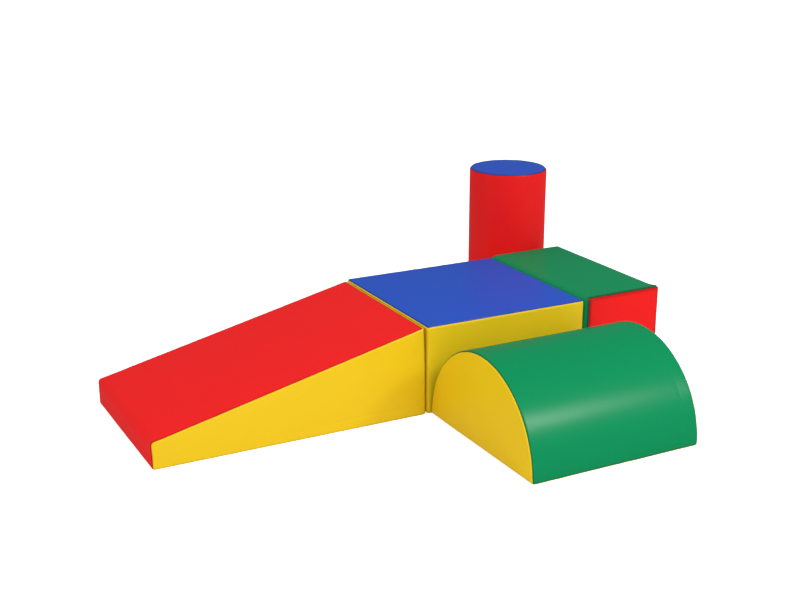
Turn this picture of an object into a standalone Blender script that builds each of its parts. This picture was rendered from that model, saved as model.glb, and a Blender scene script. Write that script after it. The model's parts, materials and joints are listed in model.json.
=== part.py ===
"""Soft play foam climber: a ramp, a square block, a step, a half round and a cylinder of covered foam.

Metres, +Z up. The origin is on the floor under the middle of the square block. The ramp comes up to the
block from -X, the step stands at its +X side, the half round lies in front of it at -Y and the cylinder
stands behind the step. Each shape is a foam core in a sewn cover. A zip in a side that the set's usual
view doesn't show lets the core come out.
"""

import math

import bmesh
import bpy
from mathutils import Matrix, Vector
from mathutils.kdtree import KDTree

# Square block
BLOCK_LENGTH = 0.500
BLOCK_DEPTH = 0.4965
BLOCK_HEIGHT = 0.2455
BLOCK_CROWN = 0.004

# Ramp
RAMP_LENGTH = 0.756
RAMP_DEPTH = 0.480
RAMP_HIGH_END_HEIGHT = 0.2485
RAMP_NOSE_HEIGHT = 0.073
RAMP_CROWN = 0.003

# Step
STEP_LENGTH = 0.258
STEP_DEPTH = 0.510
STEP_HEIGHT = 0.248
STEP_CROWN = 0.003
STEP_STANDS_PROUD = 0.002

# Half round
HALF_ROUND_LENGTH = 0.501
HALF_ROUND_DEPTH = 0.4915
HALF_ROUND_HEIGHT = 0.245
HALF_ROUND_END_CROWN = 0.003
HALF_ROUND_INSET = 0.010

# Cylinder
CYLINDER_DIAMETER = 0.244
CYLINDER_HEIGHT = 0.492
CYLINDER_CROWN = 0.004
CYLINDER_SIDESTEP = 0.010

# Covers
COVER_THICKNESS = 0.0012
SEAM_EDGE_RADIUS = 0.008
CLEARANCE = 0.0003

# Zips
ZIP_TAPE_WIDTH = 0.020
ZIP_TAPE_THICKNESS = 0.0006
ZIP_TAPE_OVERLAP = 0.010
ZIP_CHAIN_WIDTH = 0.005
ZIP_CHAIN_HEIGHT = 0.0020
ZIP_STOP_LENGTH = 0.003
ZIP_SLIDER_LENGTH = 0.012
ZIP_SLIDER_WALL = 0.0012
ZIP_SLIDER_LUG_HEIGHT = 0.0015
ZIP_SLOT_MARGIN = 0.001
ZIP_END_MARGIN = 0.045
ZIP_LEVEL = 0.035

# Cutters run past what they cut
CUTTER_OVERRUN = 0.004

# Counts
EDGE_SEGMENTS = 2
LONG_DIVISIONS = 6
SHORT_DIVISIONS = 4
HALF_ROUND_ARC_STEPS = 22
END_RINGS = 3
QUARTERS = 4

# A seam follows the middle of a rounded edge where its two panels pull alike. An end that is let into a
# wrap pulls less, so the wrap keeps the whole rounded edge.
EVEN_PULL_SHARE = 1.0
LET_IN_PULL_SHARE = 0.35

# A zip slider's lug takes the middle of its top
LUG_LENGTH_SHARE = 0.5
LUG_WIDTH_SHARE = 0.3

# The bulge of a half round end is w * (1 - w * w) up its middle, which peaks at this
HALF_ROUND_BULGE_PEAK_SHARE = 2.0 / (3.0 * math.sqrt(3.0))

# Faces within this angle of each other are shaded as one surface
SMOOTH_ANGLE = math.radians(35.0)

# A face counts as turned one way when the cosine between the two is over this share
FACES_ALIKE_SHARE = 0.995

# Finishes: colour as display shares of red, green and blue, then roughness and metallic shares
FINISHES = {
    "red_vinyl": ((0.91, 0.14, 0.15), 0.38, 0.0),
    "yellow_vinyl": ((0.95, 0.79, 0.13), 0.38, 0.0),
    "blue_vinyl": ((0.19, 0.34, 0.74), 0.38, 0.0),
    "green_vinyl": ((0.11, 0.57, 0.36), 0.35, 0.0),
    "foam": ((0.93, 0.92, 0.88), 0.95, 0.0),
    "zip_fabric": ((0.13, 0.13, 0.14), 0.85, 0.0),
    "zip_nylon": ((0.16, 0.16, 0.17), 0.45, 0.0),
    "zip_metal": ((0.72, 0.72, 0.73), 0.30, 1.0),
}

LEFT = Vector((-1, 0, 0))
RIGHT = Vector((1, 0, 0))
FRONT = Vector((0, -1, 0))
BACK = Vector((0, 1, 0))
UP = Vector((0, 0, 1))
DOWN = Vector((0, 0, -1))


def clear_scene():
    """Removes whatever the scene held before."""
    for obj in list(bpy.data.objects):
        bpy.data.objects.remove(obj, do_unlink=True)


def linear(share):
    """A display colour share as the linear value that a shader takes."""
    if share <= 0.04045:
        return share / 12.92
    return ((share + 0.055) / 1.055) ** 2.4


def finish(name):
    """The material of that name, made the first time that it is asked for."""
    material = bpy.data.materials.get(name)
    if material is None:
        colour, roughness, metallic = FINISHES[name]
        rgba = tuple(linear(share) for share in colour) + (1.0,)
        material = bpy.data.materials.new(name)
        material.use_nodes = True
        material.diffuse_color = rgba
        shader = material.node_tree.nodes["Principled BSDF"]
        shader.inputs["Base Color"].default_value = rgba
        shader.inputs["Roughness"].default_value = roughness
        shader.inputs["Metallic"].default_value = metallic
    return material


def add_anchor(name, location):
    """An empty that one foam shape, with all its pieces, hangs from."""
    anchor = bpy.data.objects.new(name, None)
    anchor.location = location
    bpy.context.scene.collection.objects.link(anchor)
    return anchor


def add_piece(name, bm, finish_name, anchor, placing=None):
    """Makes an object of a mesh under construction, placed in its anchor's frame."""
    bmesh.ops.recalc_face_normals(bm, faces=bm.faces)
    mesh = bpy.data.meshes.new(name)
    bm.to_mesh(mesh)
    bm.free()
    mesh.shade_smooth()
    mesh.set_sharp_from_angle(angle=SMOOTH_ANGLE)
    mesh.materials.append(finish(finish_name))
    obj = bpy.data.objects.new(name, mesh)
    bpy.context.scene.collection.objects.link(obj)
    obj.parent = anchor
    if placing is not None:
        obj.matrix_basis = placing
    return obj


def box_between(low, high):
    """A closed box between two corners."""
    bm = bmesh.new()
    bmesh.ops.create_cube(bm, size=1.0)
    for vert in bm.verts:
        for axis in range(3):
            vert.co[axis] = high[axis] if vert.co[axis] > 0 else low[axis]
    return bm


def prism(outline, depth):
    """A closed prism: an outline in the XY plane, drawn out by depth along +Z."""
    bm = bmesh.new()
    face = bm.faces.new([bm.verts.new((x, y, 0.0)) for x, y in outline])
    drawn = bmesh.ops.extrude_face_region(bm, geom=[face], use_keep_orig=True)
    moved = [item for item in drawn["geom"] if isinstance(item, bmesh.types.BMVert)]
    bmesh.ops.translate(bm, verts=moved, vec=(0.0, 0.0, depth))
    return bm


def round_edges(bm, edges):
    """Rounds edges with the radius that a stuffed seam has."""
    bmesh.ops.bevel(
        bm,
        geom=list(edges),
        offset=SEAM_EDGE_RADIUS,
        offset_type="OFFSET",
        segments=EDGE_SEGMENTS,
        profile=0.5,
        affect="EDGES",
    )


def cut_strips(bm, axis, length, divisions):
    """Cuts a shape that is centred on an axis into strips of even width across that axis."""
    normal = Vector((0.0, 0.0, 0.0))
    normal[axis] = 1.0
    for number in range(1, divisions):
        geom = bm.verts[:] + bm.edges[:] + bm.faces[:]
        place = normal * (length * (number / divisions - 0.5))
        bmesh.ops.bisect_plane(bm, geom=geom, plane_co=place, plane_no=normal)


def verts_facing(bm, way):
    """The points whose flat faces look one way."""
    return {vert for face in bm.faces if face.normal.dot(way) > FACES_ALIKE_SHARE for vert in face.verts}


def crown_rectangle(bm, way, length, depth, crown):
    """Fills out the flat face that looks one way, most in its middle and not at its edges."""
    for vert in verts_facing(bm, way):
        along = vert.co.x / (length / 2 - SEAM_EDGE_RADIUS)
        across = vert.co.y / (depth / 2 - SEAM_EDGE_RADIUS)
        fullness = max(0.0, 1.0 - along**2) * max(0.0, 1.0 - across**2)
        vert.co += way * crown * fullness


def divide_end(bm, way):
    """Divides the flat face that looks one way into a fan with rings."""
    face = max(bm.faces, key=lambda item: item.normal.dot(way) * item.calc_area())
    fan = bmesh.ops.poke(bm, faces=[face])
    spokes = list({edge for vert in fan["verts"] for edge in vert.link_edges})
    bmesh.ops.subdivide_edges(bm, edges=spokes, cuts=END_RINGS - 1)


def box_skin(length, depth, low_height, high_height, crown, divisions):
    """The outer skin of a shape with six sides, whose top climbs from -X to +X and is crowned."""
    bm = bmesh.new()
    bmesh.ops.create_cube(bm, size=1.0)
    for vert in bm.verts:
        height = high_height if vert.co.x > 0 else low_height
        vert.co = (vert.co.x * length, vert.co.y * depth, height if vert.co.z > 0 else 0.0)
    round_edges(bm, bm.edges)
    cut_strips(bm, 0, length, divisions)
    cut_strips(bm, 1, depth, LONG_DIVISIONS)
    crown_rectangle(bm, slope_way(length, low_height, high_height), length, depth, crown)
    return bm


def slope_way(length, low_height, high_height):
    """The way that a top looks when it climbs from one height to the other over a length."""
    return Vector((low_height - high_height, 0.0, length)).normalized()


def half_turn_steps():
    """The angles of the half round's corners, from its back over its top to its front."""
    return [math.pi * number / HALF_ROUND_ARC_STEPS for number in range(HALF_ROUND_ARC_STEPS + 1)]


def half_round_skin():
    """The outer skin of the half round: half an ellipse drawn out along X, its left end filled out."""
    bm = bmesh.new()
    outline = []
    for turn in half_turn_steps():
        across = HALF_ROUND_DEPTH / 2 * math.cos(turn)
        up = HALF_ROUND_HEIGHT * math.sin(turn)
        outline.append(bm.verts.new((-HALF_ROUND_LENGTH / 2, across, up)))
    face = bm.faces.new(outline)
    drawn = bmesh.ops.extrude_face_region(bm, geom=[face], use_keep_orig=True)
    moved = [item for item in drawn["geom"] if isinstance(item, bmesh.types.BMVert)]
    bmesh.ops.translate(bm, verts=moved, vec=RIGHT * HALF_ROUND_LENGTH)
    bmesh.ops.recalc_face_normals(bm, faces=bm.faces)
    rims = [edge for edge in bm.edges if abs(edge.verts[0].co.x - edge.verts[1].co.x) < CLEARANCE]
    floor_edges = [edge for edge in bm.edges if edge not in rims and edge.verts[0].co.z < CLEARANCE]
    round_edges(bm, rims + floor_edges)
    divide_end(bm, LEFT)
    for vert in verts_facing(bm, LEFT):
        across = vert.co.y / (HALF_ROUND_DEPTH / 2 - SEAM_EDGE_RADIUS)
        up = (vert.co.z - SEAM_EDGE_RADIUS) / (HALF_ROUND_HEIGHT - 2 * SEAM_EDGE_RADIUS)
        fullness = max(0.0, 1.0 - across**2 - up**2) * max(0.0, up) / HALF_ROUND_BULGE_PEAK_SHARE
        vert.co += LEFT * HALF_ROUND_END_CROWN * fullness
    return bm


def cylinder_sides():
    """How many flats the cylinder has: each is wide enough for the zip, and each quarter holds as many."""
    flat_width = ZIP_TAPE_WIDTH + 2 * ZIP_SLOT_MARGIN
    quarter_girth = math.pi * CYLINDER_DIAMETER / QUARTERS
    return QUARTERS * int(quarter_girth / flat_width)


def cylinder_skin():
    """The outer skin of the cylinder, with a flat that looks to the back and a crowned top."""
    bm = bmesh.new()
    sides = cylinder_sides()
    radius = CYLINDER_DIAMETER / 2
    bmesh.ops.create_cone(
        bm,
        cap_ends=True,
        segments=sides,
        radius1=radius,
        radius2=radius,
        depth=CYLINDER_HEIGHT,
        matrix=Matrix.Translation(UP * CYLINDER_HEIGHT / 2) @ Matrix.Rotation(math.pi / sides, 4, "Z"),
    )
    rims = [edge for edge in bm.edges if abs(edge.verts[0].co.z - edge.verts[1].co.z) < CLEARANCE]
    round_edges(bm, rims)
    divide_end(bm, UP)
    for vert in verts_facing(bm, UP):
        outward = vert.co.xy.length / (radius - SEAM_EDGE_RADIUS)
        vert.co += UP * CYLINDER_CROWN * max(0.0, 1.0 - outward**2)
    return bm


def skin_normals(skin):
    """A lookup of the skin's outward direction at its nearest point."""
    skin.normal_update()
    tree = KDTree(len(skin.verts))
    normals = [vert.normal.copy() for vert in skin.verts]
    for number, vert in enumerate(skin.verts):
        tree.insert(vert.co, number)
    tree.balance()
    return lambda place: normals[tree.find(place)[1]]


def panel_of(face, panels):
    """The panel that a face of the skin belongs to: the one whose pull is the strongest there."""
    pulls = {}
    for name, (ways, pull_share, _) in panels.items():
        pulls[name] = max(face.normal.dot(way) for way in ways) * pull_share
    return max(pulls, key=pulls.get)


def add_covers(skin, panels, anchor):
    """Cuts the skin into panels along the seams and gives each panel its thickness."""
    outward_at = skin_normals(skin)
    covers = {}
    for name, (_, _, finish_name) in panels.items():
        panel = skin.copy()
        others = [face for face in panel.faces if panel_of(face, panels) != name]
        bmesh.ops.delete(panel, geom=others, context="FACES")
        trim = bmesh.ops.inset_region(
            panel, faces=panel.faces[:], thickness=CLEARANCE / 2, use_boundary=True, use_even_offset=True
        )
        bmesh.ops.delete(panel, geom=trim["faces"], context="FACES")
        drawn = bmesh.ops.extrude_face_region(panel, geom=panel.faces[:], use_keep_orig=True)
        for item in drawn["geom"]:
            if isinstance(item, bmesh.types.BMVert):
                item.co -= outward_at(item.co) * COVER_THICKNESS
        covers[name] = add_piece(name, panel, finish_name, anchor)
    return covers


def add_core(name, skin, anchor):
    """The foam core: the skin drawn in by the cover's thickness and a clearance."""
    outward_at = skin_normals(skin)
    core = skin.copy()
    for vert in core.verts:
        vert.co -= outward_at(vert.co) * (COVER_THICKNESS + CLEARANCE)
    return add_piece(name, core, "foam", anchor)


def zip_placing(origin, along, outward):
    """The frame of a zip: X runs the way it opens, Z looks out of the cover, the origin is its closed end."""
    across = outward.cross(along)
    turn = Matrix((along, across, outward)).transposed().to_4x4()
    return Matrix.Translation(origin) @ turn


def cut(target, name, low, high, placing):
    """Cuts a box out of a piece and keeps the box as a hidden cutter."""
    cutter = add_piece(name, box_between(low, high), "foam", target.parent, placing)
    cutter.hide_render = True
    cutter.display_type = "WIRE"
    modifier = target.modifiers.new(name, "BOOLEAN")
    modifier.operation = "DIFFERENCE"
    modifier.solver = "EXACT"
    modifier.object = cutter


def slider_outline():
    """The slider's section, seen along the zip: a channel over the chain, with a lug on its top."""
    inner = ZIP_CHAIN_WIDTH / 2 + CLEARANCE
    outer = inner + ZIP_SLIDER_WALL
    foot = -COVER_THICKNESS
    ceiling = foot + ZIP_CHAIN_HEIGHT + CLEARANCE
    top = ceiling + ZIP_SLIDER_WALL
    lug = outer * LUG_WIDTH_SHARE
    return {"inner": inner, "outer": outer, "foot": foot, "ceiling": ceiling, "top": top, "lug": lug}


def add_slider(name, anchor, placing):
    """A zip slider with no pull tab: a channel over the chain and a low lug on its top."""
    size = slider_outline()
    outline = [
        (-size["outer"], size["foot"]),
        (-size["inner"], size["foot"]),
        (-size["inner"], size["ceiling"]),
        (size["inner"], size["ceiling"]),
        (size["inner"], size["foot"]),
        (size["outer"], size["foot"]),
        (size["outer"], size["top"]),
        (size["lug"], size["top"]),
        (-size["lug"], size["top"]),
        (-size["outer"], size["top"]),
    ]
    bm = prism(outline, ZIP_SLIDER_LENGTH)
    upright = Matrix(((0, 0, 1), (1, 0, 0), (0, 1, 0)))
    bmesh.ops.rotate(bm, verts=bm.verts, matrix=upright)
    bmesh.ops.recalc_face_normals(bm, faces=bm.faces)
    lug_face = max(bm.faces, key=lambda face: face.normal.z - abs(face.calc_center_median().y))
    raised = bmesh.ops.extrude_face_region(bm, geom=[lug_face])
    lug_verts = [item for item in raised["geom"] if isinstance(item, bmesh.types.BMVert)]
    bmesh.ops.delete(bm, geom=[lug_face], context="FACES_ONLY")
    for vert in lug_verts:
        vert.co.x = ZIP_SLIDER_LENGTH * (0.5 + LUG_LENGTH_SHARE * (vert.co.x / ZIP_SLIDER_LENGTH - 0.5))
        vert.co.z += ZIP_SLIDER_LUG_HEIGHT
    return add_piece(name, bm, "zip_metal", anchor, placing)


def add_chain(name, length, anchor, placing):
    """The closed chain of teeth on its tape, with a wider stop at each end."""
    slim = ZIP_CHAIN_WIDTH / 2
    wide = slider_outline()["outer"]
    inner_end = length - ZIP_STOP_LENGTH
    side = [(0.0, wide), (ZIP_STOP_LENGTH, wide), (ZIP_STOP_LENGTH, slim)]
    side += [(inner_end, slim), (inner_end, wide), (length, wide)]
    outline = side + [(x, -y) for x, y in reversed(side)]
    bm = prism(outline, ZIP_CHAIN_HEIGHT)
    bmesh.ops.translate(bm, verts=bm.verts, vec=DOWN * COVER_THICKNESS)
    return add_piece(name, bm, "zip_nylon", anchor, placing)


def add_zip(prefix, cover, core, anchor, placing, length):
    """A zip in a flat of a cover: a slot in the cover, a pocket in the foam, tape, chain and slider."""
    slot_half = slider_outline()["outer"] + ZIP_SLOT_MARGIN
    slot_low = Vector((-ZIP_SLOT_MARGIN, -slot_half, -COVER_THICKNESS - CLEARANCE / 2))
    slot_high = Vector((length + ZIP_SLOT_MARGIN, slot_half, CUTTER_OVERRUN))
    cut(cover, f"{prefix}_zip_slot_cutter", slot_low, slot_high, placing)

    tape_top = -COVER_THICKNESS - CLEARANCE
    tape_low = Vector((-ZIP_TAPE_OVERLAP, -ZIP_TAPE_WIDTH / 2, tape_top - ZIP_TAPE_THICKNESS))
    tape_high = Vector((length + ZIP_TAPE_OVERLAP, ZIP_TAPE_WIDTH / 2, tape_top))
    add_piece(f"{prefix}_zip_tape", box_between(tape_low, tape_high), "zip_fabric", anchor, placing)

    room = Vector((CLEARANCE, CLEARANCE, CLEARANCE))
    pocket_high = tape_high + room
    pocket_high.z = CUTTER_OVERRUN
    cut(core, f"{prefix}_zip_pocket_cutter", tape_low - room, pocket_high, placing)

    add_chain(f"{prefix}_zip_chain", length, anchor, placing)
    start = Matrix.Translation((ZIP_STOP_LENGTH + CLEARANCE, 0.0, 0.0))
    add_slider(f"{prefix}_zip_slider", anchor, placing @ start)


def build_block():
    """The square block: blue top, four yellow sides and a base."""
    anchor = add_anchor("block", (0.0, 0.0, 0.0))
    skin = box_skin(BLOCK_LENGTH, BLOCK_DEPTH, BLOCK_HEIGHT, BLOCK_HEIGHT, BLOCK_CROWN, LONG_DIVISIONS)
    panels = {
        "block_top_cover": ((UP,), EVEN_PULL_SHARE, "blue_vinyl"),
        "block_front_cover": ((FRONT,), EVEN_PULL_SHARE, "yellow_vinyl"),
        "block_back_cover": ((BACK,), EVEN_PULL_SHARE, "yellow_vinyl"),
        "block_left_cover": ((LEFT,), EVEN_PULL_SHARE, "yellow_vinyl"),
        "block_right_cover": ((RIGHT,), EVEN_PULL_SHARE, "yellow_vinyl"),
        "block_base_cover": ((DOWN,), EVEN_PULL_SHARE, "yellow_vinyl"),
    }
    covers = add_covers(skin, panels, anchor)
    core = add_core("block_foam_core", skin, anchor)
    closed_end = Vector((-BLOCK_LENGTH / 2 + ZIP_END_MARGIN, BLOCK_DEPTH / 2, ZIP_LEVEL))
    placing = zip_placing(closed_end, RIGHT, BACK)
    add_zip("block", covers["block_back_cover"], core, anchor, placing, BLOCK_LENGTH - 2 * ZIP_END_MARGIN)
    skin.free()


def build_ramp():
    """The ramp: one red wrap over the slope and the nose, yellow sides, high end and base."""
    middle_x = -BLOCK_LENGTH / 2 - CLEARANCE - RAMP_LENGTH / 2
    middle_y = (RAMP_DEPTH - BLOCK_DEPTH) / 2
    anchor = add_anchor("ramp", (middle_x, middle_y, 0.0))
    heights = (RAMP_NOSE_HEIGHT, RAMP_HIGH_END_HEIGHT)
    skin = box_skin(RAMP_LENGTH, RAMP_DEPTH, *heights, RAMP_CROWN, LONG_DIVISIONS)
    slope = slope_way(RAMP_LENGTH, *heights)
    panels = {
        "ramp_slope_cover": ((slope, LEFT), EVEN_PULL_SHARE, "red_vinyl"),
        "ramp_near_side_cover": ((FRONT,), EVEN_PULL_SHARE, "yellow_vinyl"),
        "ramp_far_side_cover": ((BACK,), EVEN_PULL_SHARE, "yellow_vinyl"),
        "ramp_high_end_cover": ((RIGHT,), EVEN_PULL_SHARE, "yellow_vinyl"),
        "ramp_base_cover": ((DOWN,), EVEN_PULL_SHARE, "yellow_vinyl"),
    }
    covers = add_covers(skin, panels, anchor)
    core = add_core("ramp_foam_core", skin, anchor)
    closed_end = Vector((RAMP_LENGTH / 2 - ZIP_END_MARGIN, RAMP_DEPTH / 2, ZIP_LEVEL))
    placing = zip_placing(closed_end, LEFT, BACK)
    add_zip("ramp", covers["ramp_far_side_cover"], core, anchor, placing, RAMP_LENGTH - 2 * ZIP_END_MARGIN)
    skin.free()


def step_middle():
    """Where the middle of the step stands: against the block, a little proud of its front."""
    front = -BLOCK_DEPTH / 2 - STEP_STANDS_PROUD
    return Vector((BLOCK_LENGTH / 2 + CLEARANCE + STEP_LENGTH / 2, front + STEP_DEPTH / 2, 0.0))


def build_step():
    """The step: one green wrap over the top and both long sides, with red ends let into it."""
    anchor = add_anchor("step", step_middle())
    skin = box_skin(STEP_LENGTH, STEP_DEPTH, STEP_HEIGHT, STEP_HEIGHT, STEP_CROWN, SHORT_DIVISIONS)
    panels = {
        "step_wrap_cover": ((UP, LEFT, RIGHT), EVEN_PULL_SHARE, "green_vinyl"),
        "step_front_end_cover": ((FRONT,), LET_IN_PULL_SHARE, "red_vinyl"),
        "step_back_end_cover": ((BACK,), LET_IN_PULL_SHARE, "red_vinyl"),
        "step_base_cover": ((DOWN,), EVEN_PULL_SHARE, "green_vinyl"),
    }
    covers = add_covers(skin, panels, anchor)
    core = add_core("step_foam_core", skin, anchor)
    closed_end = Vector((STEP_LENGTH / 2, -STEP_DEPTH / 2 + ZIP_END_MARGIN, ZIP_LEVEL))
    placing = zip_placing(closed_end, BACK, RIGHT)
    add_zip("step", covers["step_wrap_cover"], core, anchor, placing, STEP_DEPTH - 2 * ZIP_END_MARGIN)
    skin.free()


def build_half_round():
    """The half round: green curved cover, yellow ends and a yellow base. It lies against the step's front."""
    middle_x = -BLOCK_LENGTH / 2 + HALF_ROUND_INSET + HALF_ROUND_LENGTH / 2
    back = -BLOCK_DEPTH / 2 - STEP_STANDS_PROUD - CLEARANCE
    anchor = add_anchor("half_round", (middle_x, back - HALF_ROUND_DEPTH / 2, 0.0))
    skin = half_round_skin()
    bow = [Vector((0.0, math.cos(turn), math.sin(turn))) for turn in half_turn_steps()]
    panels = {
        "half_round_curved_cover": (tuple(bow), EVEN_PULL_SHARE, "green_vinyl"),
        "half_round_left_end_cover": ((LEFT,), EVEN_PULL_SHARE, "yellow_vinyl"),
        "half_round_right_end_cover": ((RIGHT,), EVEN_PULL_SHARE, "yellow_vinyl"),
        "half_round_base_cover": ((DOWN,), EVEN_PULL_SHARE, "yellow_vinyl"),
    }
    covers = add_covers(skin, panels, anchor)
    core = add_core("half_round_foam_core", skin, anchor)
    closed_end = Vector((HALF_ROUND_LENGTH / 2, HALF_ROUND_DEPTH / 2 - ZIP_END_MARGIN, ZIP_LEVEL))
    placing = zip_placing(closed_end, FRONT, RIGHT)
    length = HALF_ROUND_DEPTH - 2 * ZIP_END_MARGIN
    add_zip("half_round", covers["half_round_right_end_cover"], core, anchor, placing, length)
    skin.free()


def build_cylinder():
    """The cylinder: red side, blue top and base. It stands upright against the step's back."""
    step = step_middle()
    back = step.y + STEP_DEPTH / 2 + CLEARANCE
    anchor = add_anchor("cylinder", (step.x + CYLINDER_SIDESTEP, back + CYLINDER_DIAMETER / 2, 0.0))
    skin = cylinder_skin()
    sides = cylinder_sides()
    around = [Matrix.Rotation(math.tau * number / sides, 3, "Z") @ BACK for number in range(sides)]
    panels = {
        "cylinder_side_cover": (tuple(around), EVEN_PULL_SHARE, "red_vinyl"),
        "cylinder_top_cover": ((UP,), EVEN_PULL_SHARE, "blue_vinyl"),
        "cylinder_base_cover": ((DOWN,), EVEN_PULL_SHARE, "blue_vinyl"),
    }
    covers = add_covers(skin, panels, anchor)
    core = add_core("cylinder_foam_core", skin, anchor)
    flat_y = CYLINDER_DIAMETER / 2 * math.cos(math.pi / sides)
    placing = zip_placing(Vector((0.0, flat_y, ZIP_END_MARGIN)), UP, BACK)
    length = CYLINDER_HEIGHT - 2 * ZIP_END_MARGIN
    add_zip("cylinder", covers["cylinder_side_cover"], core, anchor, placing, length)
    skin.free()


def main():
    """Builds the whole set."""
    clear_scene()
    build_block()
    build_ramp()
    build_step()
    build_half_round()
    build_cylinder()


main()
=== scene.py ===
"""Looks of the soft play foam climber: sewn vinyl covers over foam, with their zips, round the packed frame.

Each foam shape is modelled as one closed skin with rounded edges, blown up a little as cloth held at its
seams, sewn (its seams are drawn in), refined, and then parted along the seams into the cover panels.
"""

import json
import math
from contextlib import contextmanager

import bmesh
import bpy
from bpy.props import FloatProperty, FloatVectorProperty, IntProperty, PointerProperty
from mathutils import Matrix, Vector, noise
from mathutils.kdtree import KDTree

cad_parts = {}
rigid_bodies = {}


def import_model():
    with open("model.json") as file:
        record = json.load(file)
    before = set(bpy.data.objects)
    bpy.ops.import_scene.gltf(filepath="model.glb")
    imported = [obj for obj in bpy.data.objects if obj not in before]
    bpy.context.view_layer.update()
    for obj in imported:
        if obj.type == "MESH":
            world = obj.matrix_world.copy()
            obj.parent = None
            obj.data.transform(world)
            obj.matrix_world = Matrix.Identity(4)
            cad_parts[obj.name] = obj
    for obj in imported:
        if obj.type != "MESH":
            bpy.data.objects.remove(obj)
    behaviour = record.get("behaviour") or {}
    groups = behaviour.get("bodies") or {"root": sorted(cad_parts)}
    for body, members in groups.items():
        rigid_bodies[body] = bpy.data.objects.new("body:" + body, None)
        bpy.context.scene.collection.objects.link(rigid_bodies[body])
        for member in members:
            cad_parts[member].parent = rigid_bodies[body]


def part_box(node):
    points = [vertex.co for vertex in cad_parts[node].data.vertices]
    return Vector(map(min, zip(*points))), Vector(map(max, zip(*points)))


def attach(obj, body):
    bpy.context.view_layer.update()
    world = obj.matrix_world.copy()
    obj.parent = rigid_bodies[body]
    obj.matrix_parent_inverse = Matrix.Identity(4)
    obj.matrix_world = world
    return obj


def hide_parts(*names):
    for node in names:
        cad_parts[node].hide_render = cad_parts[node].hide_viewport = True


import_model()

bl_info = {
    "name": "Soft play foam climber",
    "version": (1, 0, 0),
    "blender": (4, 5, 0),
    "location": "View3D > Sidebar > Soft play",
    "description": "Models the covers, zips and foam of a five piece soft play climber",
    "category": "Add Mesh",
}

LEFT = Vector((-1, 0, 0))
RIGHT = Vector((1, 0, 0))
FRONT = Vector((0, -1, 0))
BACK = Vector((0, 1, 0))
UP = Vector((0, 0, 1))
DOWN = Vector((0, 0, -1))

# Shares of an even pull on a rounded edge: of an end let into a wrap, of the roll at its top, of the
# wrap on its left, and of the half round's base
LET_IN_PULL_SHARE = 0.35
ROLL_PULL_SHARE = 0.65
WRAP_PULL_SHARE = 3.0
BASE_PULL_SHARE = 2.7

# Shares of a face's normal that make it look one way, be flat round a zip, be the flat of an end, and
# belong to the half round's end rather than to its curve
FACING_SHARE = 0.9
FLAT_SHARE = 0.98
END_FLAT_SHARE = 0.9998
CURVE_END_SHARE = 0.5

# An edge is an edge of the shape, and not of its facets, when its faces turn by more than the first. Panels
# look smooth up to the second, and other pieces up to the third
SHAPE_EDGE_ANGLE = math.radians(30.0)
PANEL_SMOOTH_ANGLE = math.radians(50.0)
SMOOTH_ANGLE = math.radians(40.0)

# Places nearer than this are one place
NEAR = 0.0002

# How the fabric behaves while the foam blows it up, and for how many frames
CLOTH = {
    "quality": 5,
    "mass": 0.4,
    "tension_stiffness": 40,
    "compression_stiffness": 40,
    "shear_stiffness": 20,
    "bending_stiffness": 2,
    "air_damping": 5,
    "use_pressure": True,
}
CLOTH_FRAMES = 20

# Each zip's cover, the way that it opens and the way that it looks
ZIPS = {
    "block": ("block_back_cover", RIGHT, BACK),
    "ramp": ("ramp_far_side_cover", LEFT, BACK),
    "step": ("step_wrap_cover", BACK, RIGHT),
    "half_round": ("half_round_right_end_cover", FRONT, RIGHT),
    "cylinder": ("cylinder_side_cover", UP, BACK),
}

# Shares in the ramp: of its length where the crease fades in, and how steeply the cover swells below it
CREASE_RUN_SHARE = 1 / 4
SKIRT_STEEP_SHARE = 1.4

# The swell of the ramp's nose falls off across it with this power
NOSE_POWER = 6

# The strip along a zip's slot as a share of its lip, half a tooth of the pitch, the bridge's inset and half
# its width of the slider, and a stitch's lift of the thread
SLOT_STRIP_SHARE = 3
TOOTH_HALF_SHARE = 0.36
BRIDGE_INSET_SHARE = 1 / 4
BRIDGE_HALF_SHARE = 1 / 6
STITCH_LIFT_SHARE = 1 / 8

# Facets across a bead of the tape and round a stitch, and the steps of the tape in one of its ripples
BEAD_STEPS = 4
STITCH_STEPS = 6
RIPPLE_STEPS = 3

# Each fill light's turn to the right and height, in degrees
FILLS = {"front": (0.0, 33.0), "high": (0.0, 60.0), "left": (-70.0, 20.0)}

# Of each finish: its marks per metre, two colours, roughness, and how strongly and deeply it is embossed
FOAM = {
    "marks": 420.0,
    "colours": ((0.86, 0.84, 0.78), (0.93, 0.92, 0.88)),
    "roughness": 0.95,
    "strength": 0.6,
    "depth": 0.0006,
}
TAPE = {
    "marks": 1500.0,
    "colours": ((0.030, 0.030, 0.033), (0.010, 0.010, 0.011)),
    "roughness": 0.85,
    "strength": 0.7,
    "depth": 0.0002,
}
NYLON = {
    "marks": 900.0,
    "colours": ((0.012, 0.012, 0.013), (0.03, 0.03, 0.032)),
    "roughness": 0.38,
    "metallic": 0.0,
}
METAL = {
    "marks": 700.0,
    "colours": ((0.018, 0.018, 0.020), (0.06, 0.06, 0.065)),
    "roughness": 0.32,
    "metallic": 0.6,
}
THREAD = {
    "marks": 1800.0,
    "twists": 900.0,
    "dark_share": 0.55,
    "light_share": 0.95,
    "bleach": 0.02,
    "roughness": 0.6,
    "strength": 0.6,
    "depth": 0.0001,
}
VINYL = {
    "clouds": 9.0,
    "specks": 2600.0,
    "speck_share": 0.25,
    "cell_softness": 0.6,
    "strength": 0.35,
    "roughness_spread": 0.06,
    "gloss_spread": 0.12,
}

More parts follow.
